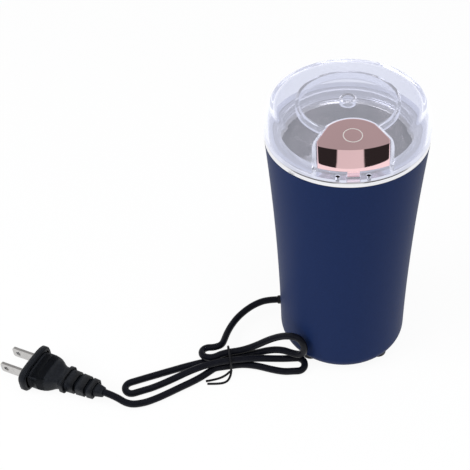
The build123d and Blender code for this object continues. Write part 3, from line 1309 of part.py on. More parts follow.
def hank_edges():
    """Lines and arcs of the hank in order."""
    edges = []
    route = hank_route()
    for (start, heading), (end, end_heading) in zip(route, route[1:]):
        straight = (end - start).cross(heading).length < TOLERANCE
        if straight:
            edges.append(Line(start, end))
            continue
        edges += [arc_edge(*piece) for piece in biarc(start, heading, end, end_heading)]
    return edges


def least_gap(path, diameter):
    """Least clear distance of a tube to itself, measured on points along its path."""
    count = int(path.length / GAP_SAMPLE)
    points = [path @ (i / count) for i in range(count + 1)]
    skip = int(GAP_SKIP / GAP_SAMPLE)
    nearest = min(
        (points[i] - points[j]).length
        for i in range(0, count + 1)
        for j in range(i + skip, count + 1)
    )
    return nearest - diameter


def make_hank():
    """Tied hank as one unbroken tube."""
    edges = hank_edges()
    path = Wire(edges)
    tube = round_tube(path, CORD_DIAMETER)
    ideal = math.pi * CORD_DIAMETER ** 2 / 4 * path.length
    print("cord_hank length", round(path.length, 1), "least gap", round(least_gap(path, CORD_DIAMETER), 2),
          "volume share", round(tube.volume / ideal, 4))
    return tube


def make_tie():
    """Twist tie: a thin band round the hank's waist with two loose tails in front."""
    width = COLUMN_PITCH + CORD_DIAMETER + 2 * TIE_GAP
    low = CORD_FLOOR + WAIST_LIFT - CORD_DIAMETER / 2 - TIE_GAP
    height = LAYER_PITCH + CORD_DIAMETER + 2 * TIE_GAP
    outer_width = width + 2 * TIE_THICKNESS
    outer = RectangleRounded(outer_width, height + 2 * TIE_THICKNESS, TIE_CORNER + TIE_THICKNESS)
    band = extrude(outer - RectangleRounded(width, height, TIE_CORNER), TIE_WIDTH / 2, both=True)
    along, across = axes_at(WAIST_ANGLE)
    tie = Plane((*TIE_PLACE, low + height / 2), across, along) * band
    knot = Vector(*TIE_PLACE, low + TIE_CORNER + TIE_THICKNESS) - across * (width / 2 + TIE_THICKNESS / 2)
    for angle, length in zip(TIE_TAIL_ANGLES, TIE_TAIL_LENGTHS):
        strip = Box(length, TIE_TAIL_WIDTH, TIE_THICKNESS)
        strip = Pos(-length / 2 + TIE_THICKNESS / 2, 0, 0) * strip
        tie += Pos(*knot) * Rot(0, 0, angle) * Rot(0, -TIE_TAIL_DROP_ANGLE, 0) * strip
    return tie


def plug_place():
    """Plane at the plug's face, Z along the plug towards the cord, Y up."""
    along, across = axes_at(PLUG_ANGLE)
    return Plane(PLUG_FACE, across * -1, along)


def make_plug():
    """Moulded plug: flange, waisted grip and a grooved strain relief."""
    outline = RectangleRounded(*PLUG_FLANGE_SIZE, PLUG_FLANGE_SIZE[1] * PLUG_CORNER_SHARE)
    flange = extrude(outline, PLUG_FLANGE)
    flange = fillet(flange.edges().group_by(Axis.Z)[-1], PLUG_EDGE)
    sections = [
        (PLUG_FLANGE / 2, PLUG_BODY_SIZE),
        (PLUG_FLANGE + PLUG_BODY_LENGTH, PLUG_WAIST_SIZE),
        (PLUG_FLANGE + PLUG_BODY_LENGTH + PLUG_WAIST_LENGTH, PLUG_WAIST_SIZE),
    ]
    faces = [Pos(0, 0, z) * RectangleRounded(*size, size[1] * PLUG_CORNER_SHARE) for z, size in sections]
    grip = loft([faces[0].face(), faces[1].face()], ruled=True)
    grip += loft([faces[1].face(), faces[2].face()], ruled=True)
    relief_low = sections[2][0]
    relief = Pos(0, 0, (relief_low + PLUG_LENGTH) / 2) * Cone(
        PLUG_RELIEF_RADIUS, PLUG_RELIEF_TIP_RADIUS, PLUG_LENGTH - relief_low)
    step = (PLUG_LENGTH - relief_low) / (PLUG_RIB_COUNT + 1)
    for i in range(PLUG_RIB_COUNT):
        low = relief_low + (i + 1) * step
        share = (i + 1) / (PLUG_RIB_COUNT + 1)
        radius = PLUG_RELIEF_RADIUS + (PLUG_RELIEF_TIP_RADIUS - PLUG_RELIEF_RADIUS) * share
        relief -= ring(PLUG_RELIEF_RADIUS + OVERRUN, radius - PLUG_RIB_DEPTH, low, low + PLUG_RIB_GROOVE)
    return plug_place() * (flange + grip + relief)


def make_prongs():
    """Two flat blades, one wider, with the usual holes."""
    prongs = []
    for side, width in zip((-1, 1), PRONG_WIDTHS):
        plate = RectangleRounded(width, 2 * PRONG_LENGTH, PRONG_CORNER)
        plate -= Pos(0, -PRONG_LENGTH + PRONG_HOLE_FROM_TIP) * Circle(PRONG_HOLE_RADIUS)
        plate &= Pos(0, -PRONG_LENGTH / 2) * Rectangle(width + OVERRUN, PRONG_LENGTH)
        upright = Plane((side * PRONG_PITCH / 2, 0, 0), (0, 1, 0), (1, 0, 0))
        prongs.append(plug_place() * (upright * extrude(plate, PRONG_THICKNESS / 2, both=True)))
    return prongs


def spring_path(radius, low, high, turns):
    """Coil spring path of half-turn biarcs."""
    steps = 2 * turns
    slope = (high - low) / (turns * 2 * math.pi * radius)
    edges = []
    route = []
    for i in range(steps + 1):
        angle = math.pi * i
        place = Vector(radius * math.cos(angle), radius * math.sin(angle), low + (high - low) * i / steps)
        heading = Vector(-math.sin(angle), math.cos(angle), slope).normalized()
        route.append((place, heading))
    for (start, heading), (end, end_heading) in zip(route, route[1:]):
        edges += [arc_edge(*piece) for piece in biarc(start, heading, end, end_heading)]
    return Wire(edges)


def make_spring(name, radius, low, high, turns, place):
    """Coil spring of one unbroken wire between two seats."""
    path = spring_path(radius, low + SPRING_WIRE / 2 + SEAT_GAP, high - SPRING_WIRE / 2 - SEAT_GAP, turns)
    print(name, "least gap", round((high - low - SPRING_WIRE) / turns - SPRING_WIRE, 2))
    return Pos(*place, 0) * round_tube(path, SPRING_WIRE)


def make_button_springs():
    """Return springs round the shoulder screws."""
    return [make_spring("button_springs", BUTTON_SPRING_RADIUS, LID_FLOOR, CARRIER_BOTTOM,
                        BUTTON_SPRING_TURNS,
                        (x, -SHOULDER_Y)) for x in (-SHOULDER_SPREAD, SHOULDER_SPREAD)]


def make_rod_spring():
    """Return spring under the rod's foot."""
    return make_spring("rod_spring", ROD_SPRING_RADIUS, SWITCH_TOP, ROD_FOOT_LOW, ROD_SPRING_TURNS,
                       (0, -SWITCH_Y))


def save(name, shape):
    """Write one node, a single solid or a group of separate solids."""
    solids = shape if isinstance(shape, list) else [shape]
    solids = [solid for item in solids for solid in item.solids()]
    export_step(solids[0] if len(solids) == 1 else Compound(children=solids), f"parts/{name}.step")


NODES = {
    "housing": make_housing, "base_plate": make_base_plate, "rubber_feet": make_feet,
    "base_screws": make_base_screws, "rim_ring": make_rim_ring, "locating_pins": make_locating_pins,
    "grinding_bowl": make_bowl, "bowl_gasket": make_gasket, "shaft_seal": make_seal,
    "motor_bracket": make_bracket, "bracket_screws": make_bracket_screws, "motor_can": make_motor_can,
    "motor_screws": make_motor_screws, "motor_magnets": make_magnets, "motor_end_cap": make_end_cap,
    "carbon_brushes": make_brushes, "upper_bearing": make_upper_bearing, "lower_bearing": make_lower_bearing,
    "motor_shaft": make_shaft, "armature_core": make_core, "armature_winding": make_winding,
    "commutator": make_commutator, "cooling_fan": make_fan, "blade_collar": make_collar,
    "grinding_blade": make_blade, "blade_nut": make_nut, "circuit_board": make_board,
    "board_components": make_board_components, "inner_leads": make_leads, "push_switch": make_switch,
    "switch_screws": make_switch_screws, "switch_rod": make_switch_rod, "rod_spring": make_rod_spring,
    "lid_shell": make_lid, "button_cap": make_button_cap, "button_carrier": make_button_carrier,
    "shoulder_screws": make_shoulder_screws, "button_springs": make_button_springs,
    "cord_grommet": make_grommet, "cord_sheath_end": make_sheath, "cord_clamp": make_clamp,
    "clamp_screws": make_clamp_screws, "cord_hank": make_hank, "twist_tie": make_tie,
    "plug_body": make_plug, "plug_prongs": make_prongs,
}

os.makedirs("parts", exist_ok=True)
for node, make in NODES.items():
    save(node, make())
save("cord_lead", route_tube("cord_lead", LEAD_ROUTE, CORD_DIAMETER))
save("cord_tail", route_tube("cord_tail", tail_route(), CORD_DIAMETER))
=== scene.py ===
import math

import bmesh
import bpy
from mathutils import Matrix, Vector


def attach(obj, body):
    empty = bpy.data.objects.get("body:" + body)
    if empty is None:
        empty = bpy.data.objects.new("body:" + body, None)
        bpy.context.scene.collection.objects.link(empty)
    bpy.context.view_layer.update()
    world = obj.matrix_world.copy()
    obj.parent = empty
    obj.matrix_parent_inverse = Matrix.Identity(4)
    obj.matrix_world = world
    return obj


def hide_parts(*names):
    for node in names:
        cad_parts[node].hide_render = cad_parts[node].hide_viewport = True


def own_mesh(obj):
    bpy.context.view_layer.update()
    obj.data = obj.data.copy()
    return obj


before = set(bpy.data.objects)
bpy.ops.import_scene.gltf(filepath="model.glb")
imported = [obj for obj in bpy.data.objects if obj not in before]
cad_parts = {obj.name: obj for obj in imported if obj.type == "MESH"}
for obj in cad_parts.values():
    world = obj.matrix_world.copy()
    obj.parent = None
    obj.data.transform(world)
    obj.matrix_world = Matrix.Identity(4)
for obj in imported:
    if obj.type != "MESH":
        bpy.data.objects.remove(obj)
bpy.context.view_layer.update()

# Lengths are millimetres, as in the part's source, and MM turns them into metres.
MM = 0.001
FULL_TURN = 2 * math.pi
LATHE_STEPS = 224
ROUND_STEPS = 8
ARC_STEPS = 20
SHARP_ANGLE = math.radians(32)
WELD = 0.0001
CUT = 1.0

# Camera
LENS = 74.44
SENSOR = 36.0
CLIP_START = 10.0
CAMERA_PLACE = (-38.70, -407.02, 456.31)
CAMERA_YAW = -3.271
CAMERA_PITCH = 42.620
CAMERA_ROLL = -4.248

# Mains cord: control points from the exit to the hank, through the hank, and on to the plug
CORD_DIAMETER = 4.2
CORD_RESOLUTION = 10
CORD_SIDES = 6
CORD_ORDER = 3
LEAD_POINTS = [
    (-39.0, 13.0, 13.0), (-45.5, 13.0, 13.0), (-52.4, 11.9, 11.2), (-58.8, 9.0, 9.0),
    (-64.2, 4.6, 7.2), (-68.0, -0.7, 6.2), (-70.6, -6.6, 6.2), (-72.0, -11.6, 6.6),
]
FOLD_POINTS = [
    (-73.7, -17.8, 7.1), (-78.6, -19.9, 7.3), (-83.1, -19.7, 7.3), (-85.7, -22.0, 7.5),
    (-85.9, -25.6, 7.9), (-83.5, -28.2, 8.1), (-78.4, -28.5, 8.1), (-72.7, -25.3, 8.4),
]
RAISED_POINTS = [
    (-58.3, -23.3, 8.4), (-40.2, -24.8, 21.7), (-28.2, -31.0, 27.9), (-24.4, -32.9, 22.2),
    (-24.4, -32.9, 15.4), (-28.3, -30.9, 10.8), (-40.2, -24.8, 10.8), (-59.3, -23.4, 3.2),
]
LONG_POINTS = [
    (-84.6, -27.0, 3.2), (-113.9, -35.9, 2.2), (-125.8, -40.0, 2.2), (-130.0, -41.5, 2.2),
    (-131.6, -44.7, 2.2), (-130.4, -48.1, 2.2), (-127.2, -49.6, 2.2), (-123.2, -48.2, 2.2),
    (-111.2, -44.1, 2.2), (-83.6, -33.3, 8.4),
]
FLAT_POINTS = [
    (-58.6, -29.8, 8.4), (-38.8, -28.1, 4.6), (-30.6, -28.0, 4.6), (-26.9, -27.9, 4.6),
    (-24.3, -30.3, 4.1), (-24.2, -33.8, 3.3), (-26.7, -36.3, 2.8), (-30.4, -36.4, 2.8),
    (-38.8, -36.6, 2.8), (-58.3, -29.7, 3.2),
]
TAIL_POINTS = [
    (-73.5, -31.9, 3.2), (-78.1, -32.5, 3.2), (-80.5, -34.0, 2.6), (-86.2, -38.4, 2.2),
    (-92.2, -42.2, 2.2), (-98.8, -45.9, 2.2), (-105.4, -49.8, 2.2), (-112.4, -53.6, 2.2),
    (-119.8, -56.8, 2.4), (-128.0, -58.8, 4.2), (-135.8, -55.4, 8.3), (-142.2, -52.5, 8.3),
]

# Twist tie: a wire from one tail, once round the hank, to the other tail
TIE_WIRE = 1.4
TIE_POINTS = [
    (-82.5, -42.4, 0.7), (-75.5, -42.8, 0.7), (-70.6, -41.4, 0.8), (-68.6, -37.4, 1.6),
    (-68.2, -34.6, 3.4), (-68.1, -34.6, 8.0), (-68.2, -33.5, 11.7), (-69.0, -28.0, 12.0),
    (-69.8, -22.6, 11.7), (-69.9, -21.3, 8.0), (-69.9, -21.3, 2.5), (-69.6, -24.0, 0.6),
    (-69.0, -28.0, 0.6), (-68.4, -32.0, 0.6), (-68.1, -34.7, 2.2), (-68.9, -35.8, 3.6),
    (-71.6, -37.4, 1.8), (-77.0, -39.4, 0.8), (-83.5, -40.4, 0.7),
]

# Plug: its face, direction, and (distance from the face, width, height) stations
PLUG_FACE = (-188.2, -31.6, 8.3)
PLUG_ANGLE = -24.5
PLUG_SIDES = 56
PLUG_SQUARENESS = 3.6
PLUG_EDGE = 0.3
PLUG_EDGE_STEPS = 2
PLUG_STATIONS = [
    (0.0, 27.6, 14.5), (0.9, 29.2, 16.2), (3.7, 29.2, 16.2), (4.5, 28.1, 15.1), (4.7, 22.5, 12.8),
    (6.4, 22.7, 13.2), (9.1, 22.7, 13.4), (11.8, 22.5, 13.4), (14.5, 21.6, 13.0), (16.7, 20.1, 12.4),
    (18.6, 17.7, 11.6), (20.2, 15.3, 10.7), (21.7, 13.8, 10.1), (24.1, 13.2, 9.7), (24.4, 16.6, 10.1),
    (26.9, 16.6, 10.1), (27.2, 13.6, 9.5), (32.7, 13.2, 9.0), (32.9, 9.7, 6.7), (34.4, 9.7, 6.7),
    (34.6, 12.9, 8.8), (39.8, 12.4, 8.4), (40.0, 9.3, 6.3), (41.5, 9.3, 6.3), (41.7, 12.1, 8.2),
    (45.1, 11.7, 7.8), (45.4, 7.8, 6.1), (50.5, 5.4, 5.0),
]
GRIP_SPAN = (5.5, 16.0)
GRIP_SLOPE_SHARE = 0.86
GRIP_BORDER = 1.3
GRIP_DEPTH = 0.4

# Plug blades
BLADE_PITCH = 12.7
BLADE_LENGTH = 17.6
BLADE_ROOT = 4.0
BLADE_HEIGHT = 7.2
BLADE_THICKNESS = 1.6
BLADE_CORNER = 1.6
BLADE_CORNER_STEPS = 4
BLADE_HOLE = 1.6
BLADE_HOLE_PLACE = -13.6

# Body
FOOT_HEIGHT = 2.0
BASE_RADIUS = 37.2
BASE_EDGE = 9.6
SPLIT_RADIUS = 34.6
RIM_RADIUS = 43.0
HOUSING_TOP = 149.0
HOUSING_WALL = 2.4

# Rim ring: section corners with their rounds, and the rod's slot as width, depth and place
RING_SECTION = [
    (36.95, 149.0), (38.65, 149.0), (38.65, 145.0), (39.85, 145.0), (39.85, 149.0), (43.0, 149.0),
    (43.0, 152.4), (38.2, 152.4), (38.2, 150.4), (36.95, 150.4),
]
RING_ROUNDS = [0, 0, 0, 0, 0, 0.55, 1.1, 0, 0, 0]
RING_SPAN = (145.0, 152.4)
ROD_SLOT = (6.9, 1.7, 39.6)

# Bowl: section corners, inside then outside, with their rounds
BOWL_SECTION = [
    (38.0, 152.2), (36.0, 152.2), (36.0, 146.4), (33.6, 145.0), (33.6, 112.8), (12.0, 112.8),
    (9.2, 115.6), (5.2, 115.6), (5.2, 114.8), (8.8, 114.8), (11.6, 112.0), (34.4, 112.0),
    (34.4, 144.6), (36.8, 146.0), (36.8, 151.4), (38.0, 151.4),
]
BOWL_ROUNDS = [0.3, 0.5, 0.6, 0.6, 8.0, 1.2, 1.2, 0, 0, 1.0, 1.0, 8.8, 0.4, 0.4, 0.2, 0]

# Lid
LID_BASE = 152.5
LID_FLOOR = 154.0
LID_SHOULDER = 159.7
LID_EDGE = 170.7
LID_TOP = 173.6
LID_TOP_RADIUS = 39.3
LID_WALL = 2.2
LID_SHOULDER_ROUND = 26.0
LID_TOP_ROUND = 2.2
LIP_OUTER = 35.6
LIP_INNER = 34.2
LIP_LOW = 148.1
RIB_OUTER = 26.5
RIB_INNER = 24.7
RIB_LOW = 166.1
BOSS_OUTER = 4.2
BOSS_INNER = 2.6
BOSS_LOW = 168.4
PLUNGER_SLOT = (6.8, 1.9, 39.6)
PIN_HOLE = 1.25
PIN_PLACE = (7.6, 39.3)
SCREW_BOSS = 2.0
SCREW_PLACE = (7.6, 30.5)
SCREW_BOSS_LOW = 153.0
SCREW_BOSS_TOP = 155.5

# Button and its pocket
FRONT_HALF = 17.7
FRONT_Y = -33.2
REAR_HALF = 11.6
REAR_Y = -22.8
BACK_Y = -18.2
FRONT_LIMIT = -46.0
BUTTON_BOTTOM = 158.8
BUTTON_ROUND = 0.7
BUTTON_WALL = 1.6
BUTTON_RECESS = 9.4
BUTTON_COLUMNS = 44
BUTTON_REACH = math.radians(70)
EDGE_STEPS = (0.0, 0.06, 0.18, 0.36, 0.6, 0.9)
BACK_STEPS = (0.0, 0.06, 0.18, 0.36, 0.6, 0.9, 1.4, 2.2)
EDGE_SHARE = 0.08
SEARCH_STEPS = 50
POCKET_GAP = 0.4
POCKET_GROW = 2.0

# Return springs: mean radius, low end, high end and turns
SPRING_WIRE = 0.5
SPRING_STEPS = 32
BUTTON_SPRING = (2.9, 154.1, 159.9, 3)
ROD_SPRING = (2.5, 90.1, 96.9, 3)
ROD_SPRING_PLACE = (0.0, 30.0)

# Plain circle on the button's top
MARK_RADIUS = 4.6
MARK_WIDTH = 0.5
MARK_LIFT = 0.04
MARK_Y = -30.6

# Finishes: detail of their noise, the span of it that the colour follows, and the lid's plastic with its
# painted glow, a faint cool emission over the whole lid that stands in for the pale light its clear plastic
# shows
GRAIN_DETAIL = 5.0
GRAIN_SPAN = (0.3, 0.7)
LID_TINT = (0.61, 0.62, 0.665)
LID_INDEX = 1.2
# Painted light: the lid's faint cool glow, an emission that stands in for the light the clear plastic shows.
LID_GLOW_COLOUR = (0.86, 0.88, 1.0, 1)
LID_GLOW = 0.15

# Surroundings: the light from them, and what mirrors show of them. Levels are strengths, and an
# edge is the span of a direction's part over which one level passes into the next.
LIGHT_COLOUR = (0.95, 0.97, 1.0, 1)
LIGHT_LEVEL = 0.45
MIRROR_COLOUR = (1, 0.99, 0.98, 1)
WINDOW_LEVEL = 0.74
WALL_LEVEL = 0.025
BACK_LEVEL = 0.9
SKY_LEVEL = 0.42
WINDOW_EDGE = (0.27, 0.31)
FRONT_EDGE = (-0.35, -0.15)
SKY_EDGE = (0.3, 0.5)

# Studio: floor edges, lamps as (name, place, aim, size, power) in metres and watts
FLOOR_EDGES = (-4.0, 4.0, -0.62, 5.0)
FLOOR_COLOUR = (0.9, 0.9, 0.9, 1)
FLOOR_ROUGHNESS = 0.9
FLOOR_GLOW_SHARE = 0.93
LAMPS = [
    ("key_lamp", (-0.9, -0.35, 0.75), (0.0, 0.0, 0.1), 0.7, 8.0),
    ("fill_lamp", (0.9, -0.5, 0.45), (0.0, 0.0, 0.1), 0.7, 3.0),
    ("top_lamp", (0.15, -0.25, 1.2), (0.0, 0.0, 0.1), 0.6, 5.0),
]


def aim_camera():
    """Camera at the photograph's place and angle."""
    yaw, pitch, roll = (math.radians(a) for a in (CAMERA_YAW, CAMERA_PITCH, CAMERA_ROLL))
    forward = Vector((math.sin(yaw) * math.cos(pitch), math.cos(yaw) * math.cos(pitch), -math.sin(pitch)))
    level = Vector((math.cos(yaw), -math.sin(yaw), 0))
    upright = level.cross(forward)
    right = level * math.cos(roll) + upright * math.sin(roll)
    up = upright * math.cos(roll) - level * math.sin(roll)
    data = bpy.data.cameras.new("photo_camera")
    data.sensor_fit = "HORIZONTAL"
    data.sensor_width = SENSOR
    data.lens = LENS
    data.clip_start = CLIP_START * MM
    camera = bpy.data.objects.new("photo_camera", data)
    turn = Matrix((right, up, -forward)).transposed().to_4x4()
    camera.matrix_world = Matrix.Translation(Vector(CAMERA_PLACE) * MM) @ turn
    bpy.context.collection.objects.link(camera)
    bpy.context.scene.camera = camera


def finish(name, colour, roughness, metallic=0.0, vary=0.08, rough_spread=0.06, scale=300.0,
           stretch=(1, 1, 1), bump=0.03, specular=0.5):
    """Procedural finish whose colour, roughness and fine relief follow one noise."""
    material = bpy.data.materials.new(name)
    material.use_nodes = True
    nodes = material.node_tree.nodes
    links = material.node_tree.links
    shader = nodes["Principled BSDF"]
    place = nodes.new("ShaderNodeTexCoord")
    mapping = nodes.new("ShaderNodeMapping")
    mapping.inputs["Scale"].default_value = stretch
    noise = nodes.new("ShaderNodeTexNoise")
    noise.inputs["Scale"].default_value = scale
    noise.inputs["Detail"].default_value = GRAIN_DETAIL
    links.new(place.outputs["Object"], mapping.inputs["Vector"])
    links.new(mapping.outputs["Vector"], noise.inputs["Vector"])
    ramp = nodes.new("ShaderNodeValToRGB")
    low, high = ramp.color_ramp.elements
    low.position, high.position = GRAIN_SPAN
    low.color = (*[c * (1 - vary) for c in colour], 1)
    high.color = (*[min(1, c * (1 + vary)) for c in colour], 1)
    links.new(noise.outputs["Fac"], ramp.inputs["Fac"])
    links.new(ramp.outputs["Color"], shader.inputs["Base Color"])
    spread = nodes.new("ShaderNodeMapRange")
    spread.inputs["To Min"].default_value = max(0.0, roughness - rough_spread)
    spread.inputs["To Max"].default_value = min(1.0, roughness + rough_spread)
    links.new(noise.outputs["Fac"], spread.inputs["Value"])
    links.new(spread.outputs["Result"], shader.inputs["Roughness"])
    relief = nodes.new("ShaderNodeBump")
    relief.inputs["Strength"].default_value = bump
    relief.inputs["Distance"].default_value = MM
    links.new(noise.outputs["Fac"], relief.inputs["Height"])
    links.new(relief.outputs["Normal"], shader.inputs["Normal"])
    shader.inputs["Metallic"].default_value = metallic
    shader.inputs["Specular IOR Level"].default_value = specular
    return material


def clear_finish():
    """Clear moulded lid, with a faint cool tint, a faint flow unevenness, and a painted faint cool glow in
    place of the pale light on the plastic.
    """
    material = finish("lid_clear_painted_glow", LID_TINT, 0.025, vary=0.01, rough_spread=0.02, scale=30, bump=0.01)
    shader = material.node_tree.nodes["Principled BSDF"]
    shader.inputs["Transmission Weight"].default_value = 1.0
    shader.inputs["IOR"].default_value = LID_INDEX
    # Painted light: the emission makes the whole lid glow faintly cool, in place of the pale light on its
    # edges.
    shader.inputs["Emission Color"].default_value = LID_GLOW_COLOUR
    shader.inputs["Emission Strength"].default_value = LID_GLOW
    return material


FINISHES = {
    "navy": finish("navy_shell", (0.0098, 0.0225, 0.082), 0.46, vary=0.06, scale=900, bump=0.05,
                   specular=0.05),
    "ring": finish("ring_polish", (0.86, 0.86, 0.89), 0.16, 1.0, vary=0.05, scale=60, stretch=(1, 1, 30)),
    "bowl": finish("bowl_brushed", (0.53, 0.51, 0.5), 0.22, 1.0, vary=0.06, scale=60, stretch=(1, 1, 40),
                   bump=0.08),
    "steel": finish("blade_steel", (0.62, 0.62, 0.62), 0.24, 1.0, scale=160, stretch=(8, 1, 8)),
    "clear": clear_finish(),
    "rose": finish("button_rose", (0.95, 0.655, 0.68), 0.05, 1.0, vary=0.03, rough_spread=0.03, scale=30,
                   bump=0.0),
    "mark": finish("button_mark", (0.92, 0.86, 0.84), 0.3, 0.6, vary=0.05, scale=400),
    "black": finish("moulded_black", (0.008, 0.008, 0.01), 0.45, vary=0.15, scale=500, specular=0.2),
    "matte": finish("pin_matte", (0.006, 0.005, 0.006), 0.9, vary=0.2, specular=0.02),
    "rubber": finish("rubber_black", (0.01, 0.01, 0.012), 0.5, vary=0.2, scale=700, bump=0.08, specular=0.2),
    "cord": finish("cord_sheath", (0.004, 0.0045, 0.008), 0.34, vary=0.2, scale=400, bump=0.04,
                   specular=0.15),
    "plug": finish("plug_moulding", (0.0095, 0.011, 0.0145), 0.42, vary=0.2, scale=600, bump=0.1,
                   specular=0.16),
    "tie": finish("tie_wire", (0.008, 0.008, 0.01), 0.45, vary=0.2, scale=900, bump=0.1, specular=0.2),
    "prong": finish("prong_nickel", (0.56, 0.55, 0.54), 0.3, 1.0, vary=0.08, scale=200, stretch=(1, 6, 1)),
    "copper": finish("copper_wire", (0.6, 0.27, 0.12), 0.3, 1.0, vary=0.15),
    "iron": finish("iron_core", (0.2, 0.2, 0.21), 0.45, 0.8, vary=0.15, stretch=(1, 1, 30)),
    "board": finish("board_laminate", (0.02, 0.13, 0.05), 0.4, vary=0.15),
}

# Finishes of the solids that stay as they are
SOLID_FINISHES = {
    "black": ("base_plate", "motor_bracket", "motor_end_cap", "push_switch", "cord_clamp", "cooling_fan",
              "switch_rod", "board_components"),
    "matte": ("locating_pins",),
    "rubber": ("rubber_feet", "bowl_gasket", "cord_grommet", "shaft_seal"),
    "cord": ("cord_sheath_end", "inner_leads"),
    "rose": ("button_carrier",),
    "steel": ("grinding_blade", "blade_nut", "blade_collar", "motor_shaft", "motor_can", "base_screws",
              "bracket_screws", "motor_screws", "switch_screws", "clamp_screws", "shoulder_screws"),
    "iron": ("armature_core", "motor_magnets", "carbon_brushes"),
    "copper": ("armature_winding", "commutator", "upper_bearing", "lower_bearing"),
    "board": ("circuit_board",),
}


def paint_solids():
    """Give the solids that stay their finishes."""
    for name, solids in SOLID_FINISHES.items():
        for solid in solids:
            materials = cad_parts[solid].data.materials
            materials.clear()
            materials.append(FINISHES[name])


def link_mesh(name, mesh):
    """Object of a mesh in the scene."""
    piece = bpy.data.objects.new(name, mesh)
    bpy.context.collection.objects.link(piece)
    return piece


def close_up(bm):
    """Weld doubles, turn faces outwards, and shade smooth between sharp edges."""
    bmesh.ops.remove_doubles(bm, verts=bm.verts, dist=WELD * MM)
    bmesh.ops.dissolve_degenerate(bm, edges=bm.edges, dist=WELD * MM)
    bmesh.ops.recalc_face_normals(bm, faces=bm.faces)
    for face in bm.faces:
        face.smooth = True
    for edge in bm.edges:
        edge.smooth = edge.calc_face_angle(0) < SHARP_ANGLE


def to_piece(name, bm):
    """Piece from a bmesh in millimetres."""
    bmesh.ops.scale(bm, vec=(MM, MM, MM), verts=bm.verts)
    close_up(bm)
    mesh = bpy.data.meshes.new(name)
    bm.to_mesh(mesh)
    bm.free()
    return link_mesh(name, mesh)


def dress(piece, finish_name, body, slot, *nodes):
    """Give a piece its finish and its body, and hide the nodes that it stands for. The slot is not used."""
    piece.data.materials.clear()
    piece.data.materials.append(FINISHES[finish_name])
    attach(piece, body)
    if nodes:
        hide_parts(*nodes)
    return piece


def rounded(section, rounds):
    """Section line with rounded corners."""
    line = []
    for i, (point, radius) in enumerate(zip(section, rounds)):
        if not radius:
            line.append(point)
            continue
        here = Vector(point)
        before = (Vector(section[i - 1]) - here).normalized()
        after = (Vector(section[(i + 1) % len(section)]) - here).normalized()
        half = before.angle(after) / 2
        centre = here + (before + after).normalized() * (radius / math.sin(half))
        first = here + before * (radius / math.tan(half)) - centre
        last = here + after * (radius / math.tan(half)) - centre
        sweep = first.angle_signed(last)
        for step in range(ROUND_STEPS + 1):
            line.append(tuple(centre + Matrix.Rotation(-sweep * step / ROUND_STEPS, 2) @ first))
    return line


def turned(name, section):
    """Turn a closed section line of (radius, height) points about the upright axis."""
    bm = bmesh.new()
    points = [bm.verts.new((radius, 0, height)) for radius, height in section]
    edges = [bm.edges.new(pair) for pair in zip(points, points[1:])]
    if section[0][0] or section[-1][0]:
        edges.append(bm.edges.new((points[-1], points[0])))
    bmesh.ops.spin(bm, geom=points + edges, cent=(0, 0, 0), axis=(0, 0, 1), angle=FULL_TURN,
                   steps=LATHE_STEPS, use_merge=True)
    return to_piece(name, bm)


def upright(name, plan, low, high):
    """Upright solid of a plan."""
    bm = bmesh.new()
    face = bm.faces.new([bm.verts.new((x, y, low)) for x, y in plan])
    grown = bmesh.ops.extrude_face_region(bm, geom=[face])["geom"]
    moved = [g for g in grown if isinstance(g, bmesh.types.BMVert)]
    bmesh.ops.translate(bm, vec=(0, 0, high - low), verts=moved)
    return to_piece(name, bm)


def bar(name, width, depth, y, low, high):
    """Upright bar across the middle plane, in front of the axis."""
    bm = bmesh.new()
    size = Matrix.Diagonal((width, depth, high - low, 1))
    bmesh.ops.create_cube(bm, size=1, matrix=Matrix.Translation((0, -y, (low + high) / 2)) @ size)
    return to_piece(name, bm)


def rod(name, radius, x, y, low, high):
    """Upright round rod in front of the axis."""
    bm = bmesh.new()
    bmesh.ops.create_cone(bm, cap_ends=True, segments=4 * ROUND_STEPS, radius1=radius, radius2=radius,
                          depth=high - low, matrix=Matrix.Translation((x, -y, (low + high) / 2)))
    return to_piece(name, bm)


def combine(piece, other, operation):
    """Join or cut two solids, or keep what they share, and drop the second."""
    modifier = piece.modifiers.new("combine", "BOOLEAN")
    modifier.object = other
    modifier.operation = operation
    modifier.solver = "EXACT"
    graph = bpy.context.evaluated_depsgraph_get()
    mesh = bpy.data.meshes.new_from_object(piece.evaluated_get(graph))
    piece.modifiers.clear()
    piece.data = mesh
    bpy.data.objects.remove(other)
    bm = bmesh.new()
    bm.from_mesh(mesh)
    close_up(bm)
    bm.to_mesh(mesh)
    bm.free()
    return piece


def spline_curve(name, points, diameter):
    """Round strand along one smooth spline with these control points."""
    curve = bpy.data.curves.new(name, "CURVE")
    curve.dimensions = "3D"
    spline = curve.splines.new("NURBS")
    spline.points.add(len(points) - 1)
    for point, place in zip(spline.points, points):
        point.co = (*[c * MM for c in place], 1)
    spline.order_u = CORD_ORDER
    spline.use_endpoint_u = True
    spline.resolution_u = CORD_RESOLUTION
    curve.bevel_depth = diameter / 2 * MM
    curve.bevel_resolution = CORD_SIDES
    curve.use_fill_caps = True
    return link_mesh(name, curve)


def make_cord():
    """Mains cord from the body, through the tied hank, to the plug."""
    points = LEAD_POINTS + FOLD_POINTS + RAISED_POINTS + LONG_POINTS + FLAT_POINTS + TAIL_POINTS
    return spline_curve("mains_cord", points, CORD_DIAMETER)


def make_tie():
    """Wire tie round the hank, with its two tails on the floor."""
    curve = spline_curve("tie_curve", TIE_POINTS, TIE_WIRE)
    mesh = bpy.data.meshes.new_from_object(curve)
    bpy.data.objects.remove(curve)
    bm = bmesh.new()
    bm.from_mesh(mesh)
    close_up(bm)
    bm.to_mesh(mesh)
    bm.free()
    return link_mesh("wire_tie", mesh)


def plug_place():
    """Plug's place: its face at the start, its width level, and its length towards the cord."""
    turn = math.radians(PLUG_ANGLE)
    along = Vector((math.cos(turn), math.sin(turn), 0))
    up = Vector((0, 0, 1))
    return Matrix.Translation(PLUG_FACE) @ Matrix((up.cross(along), up, along)).transposed().to_4x4()


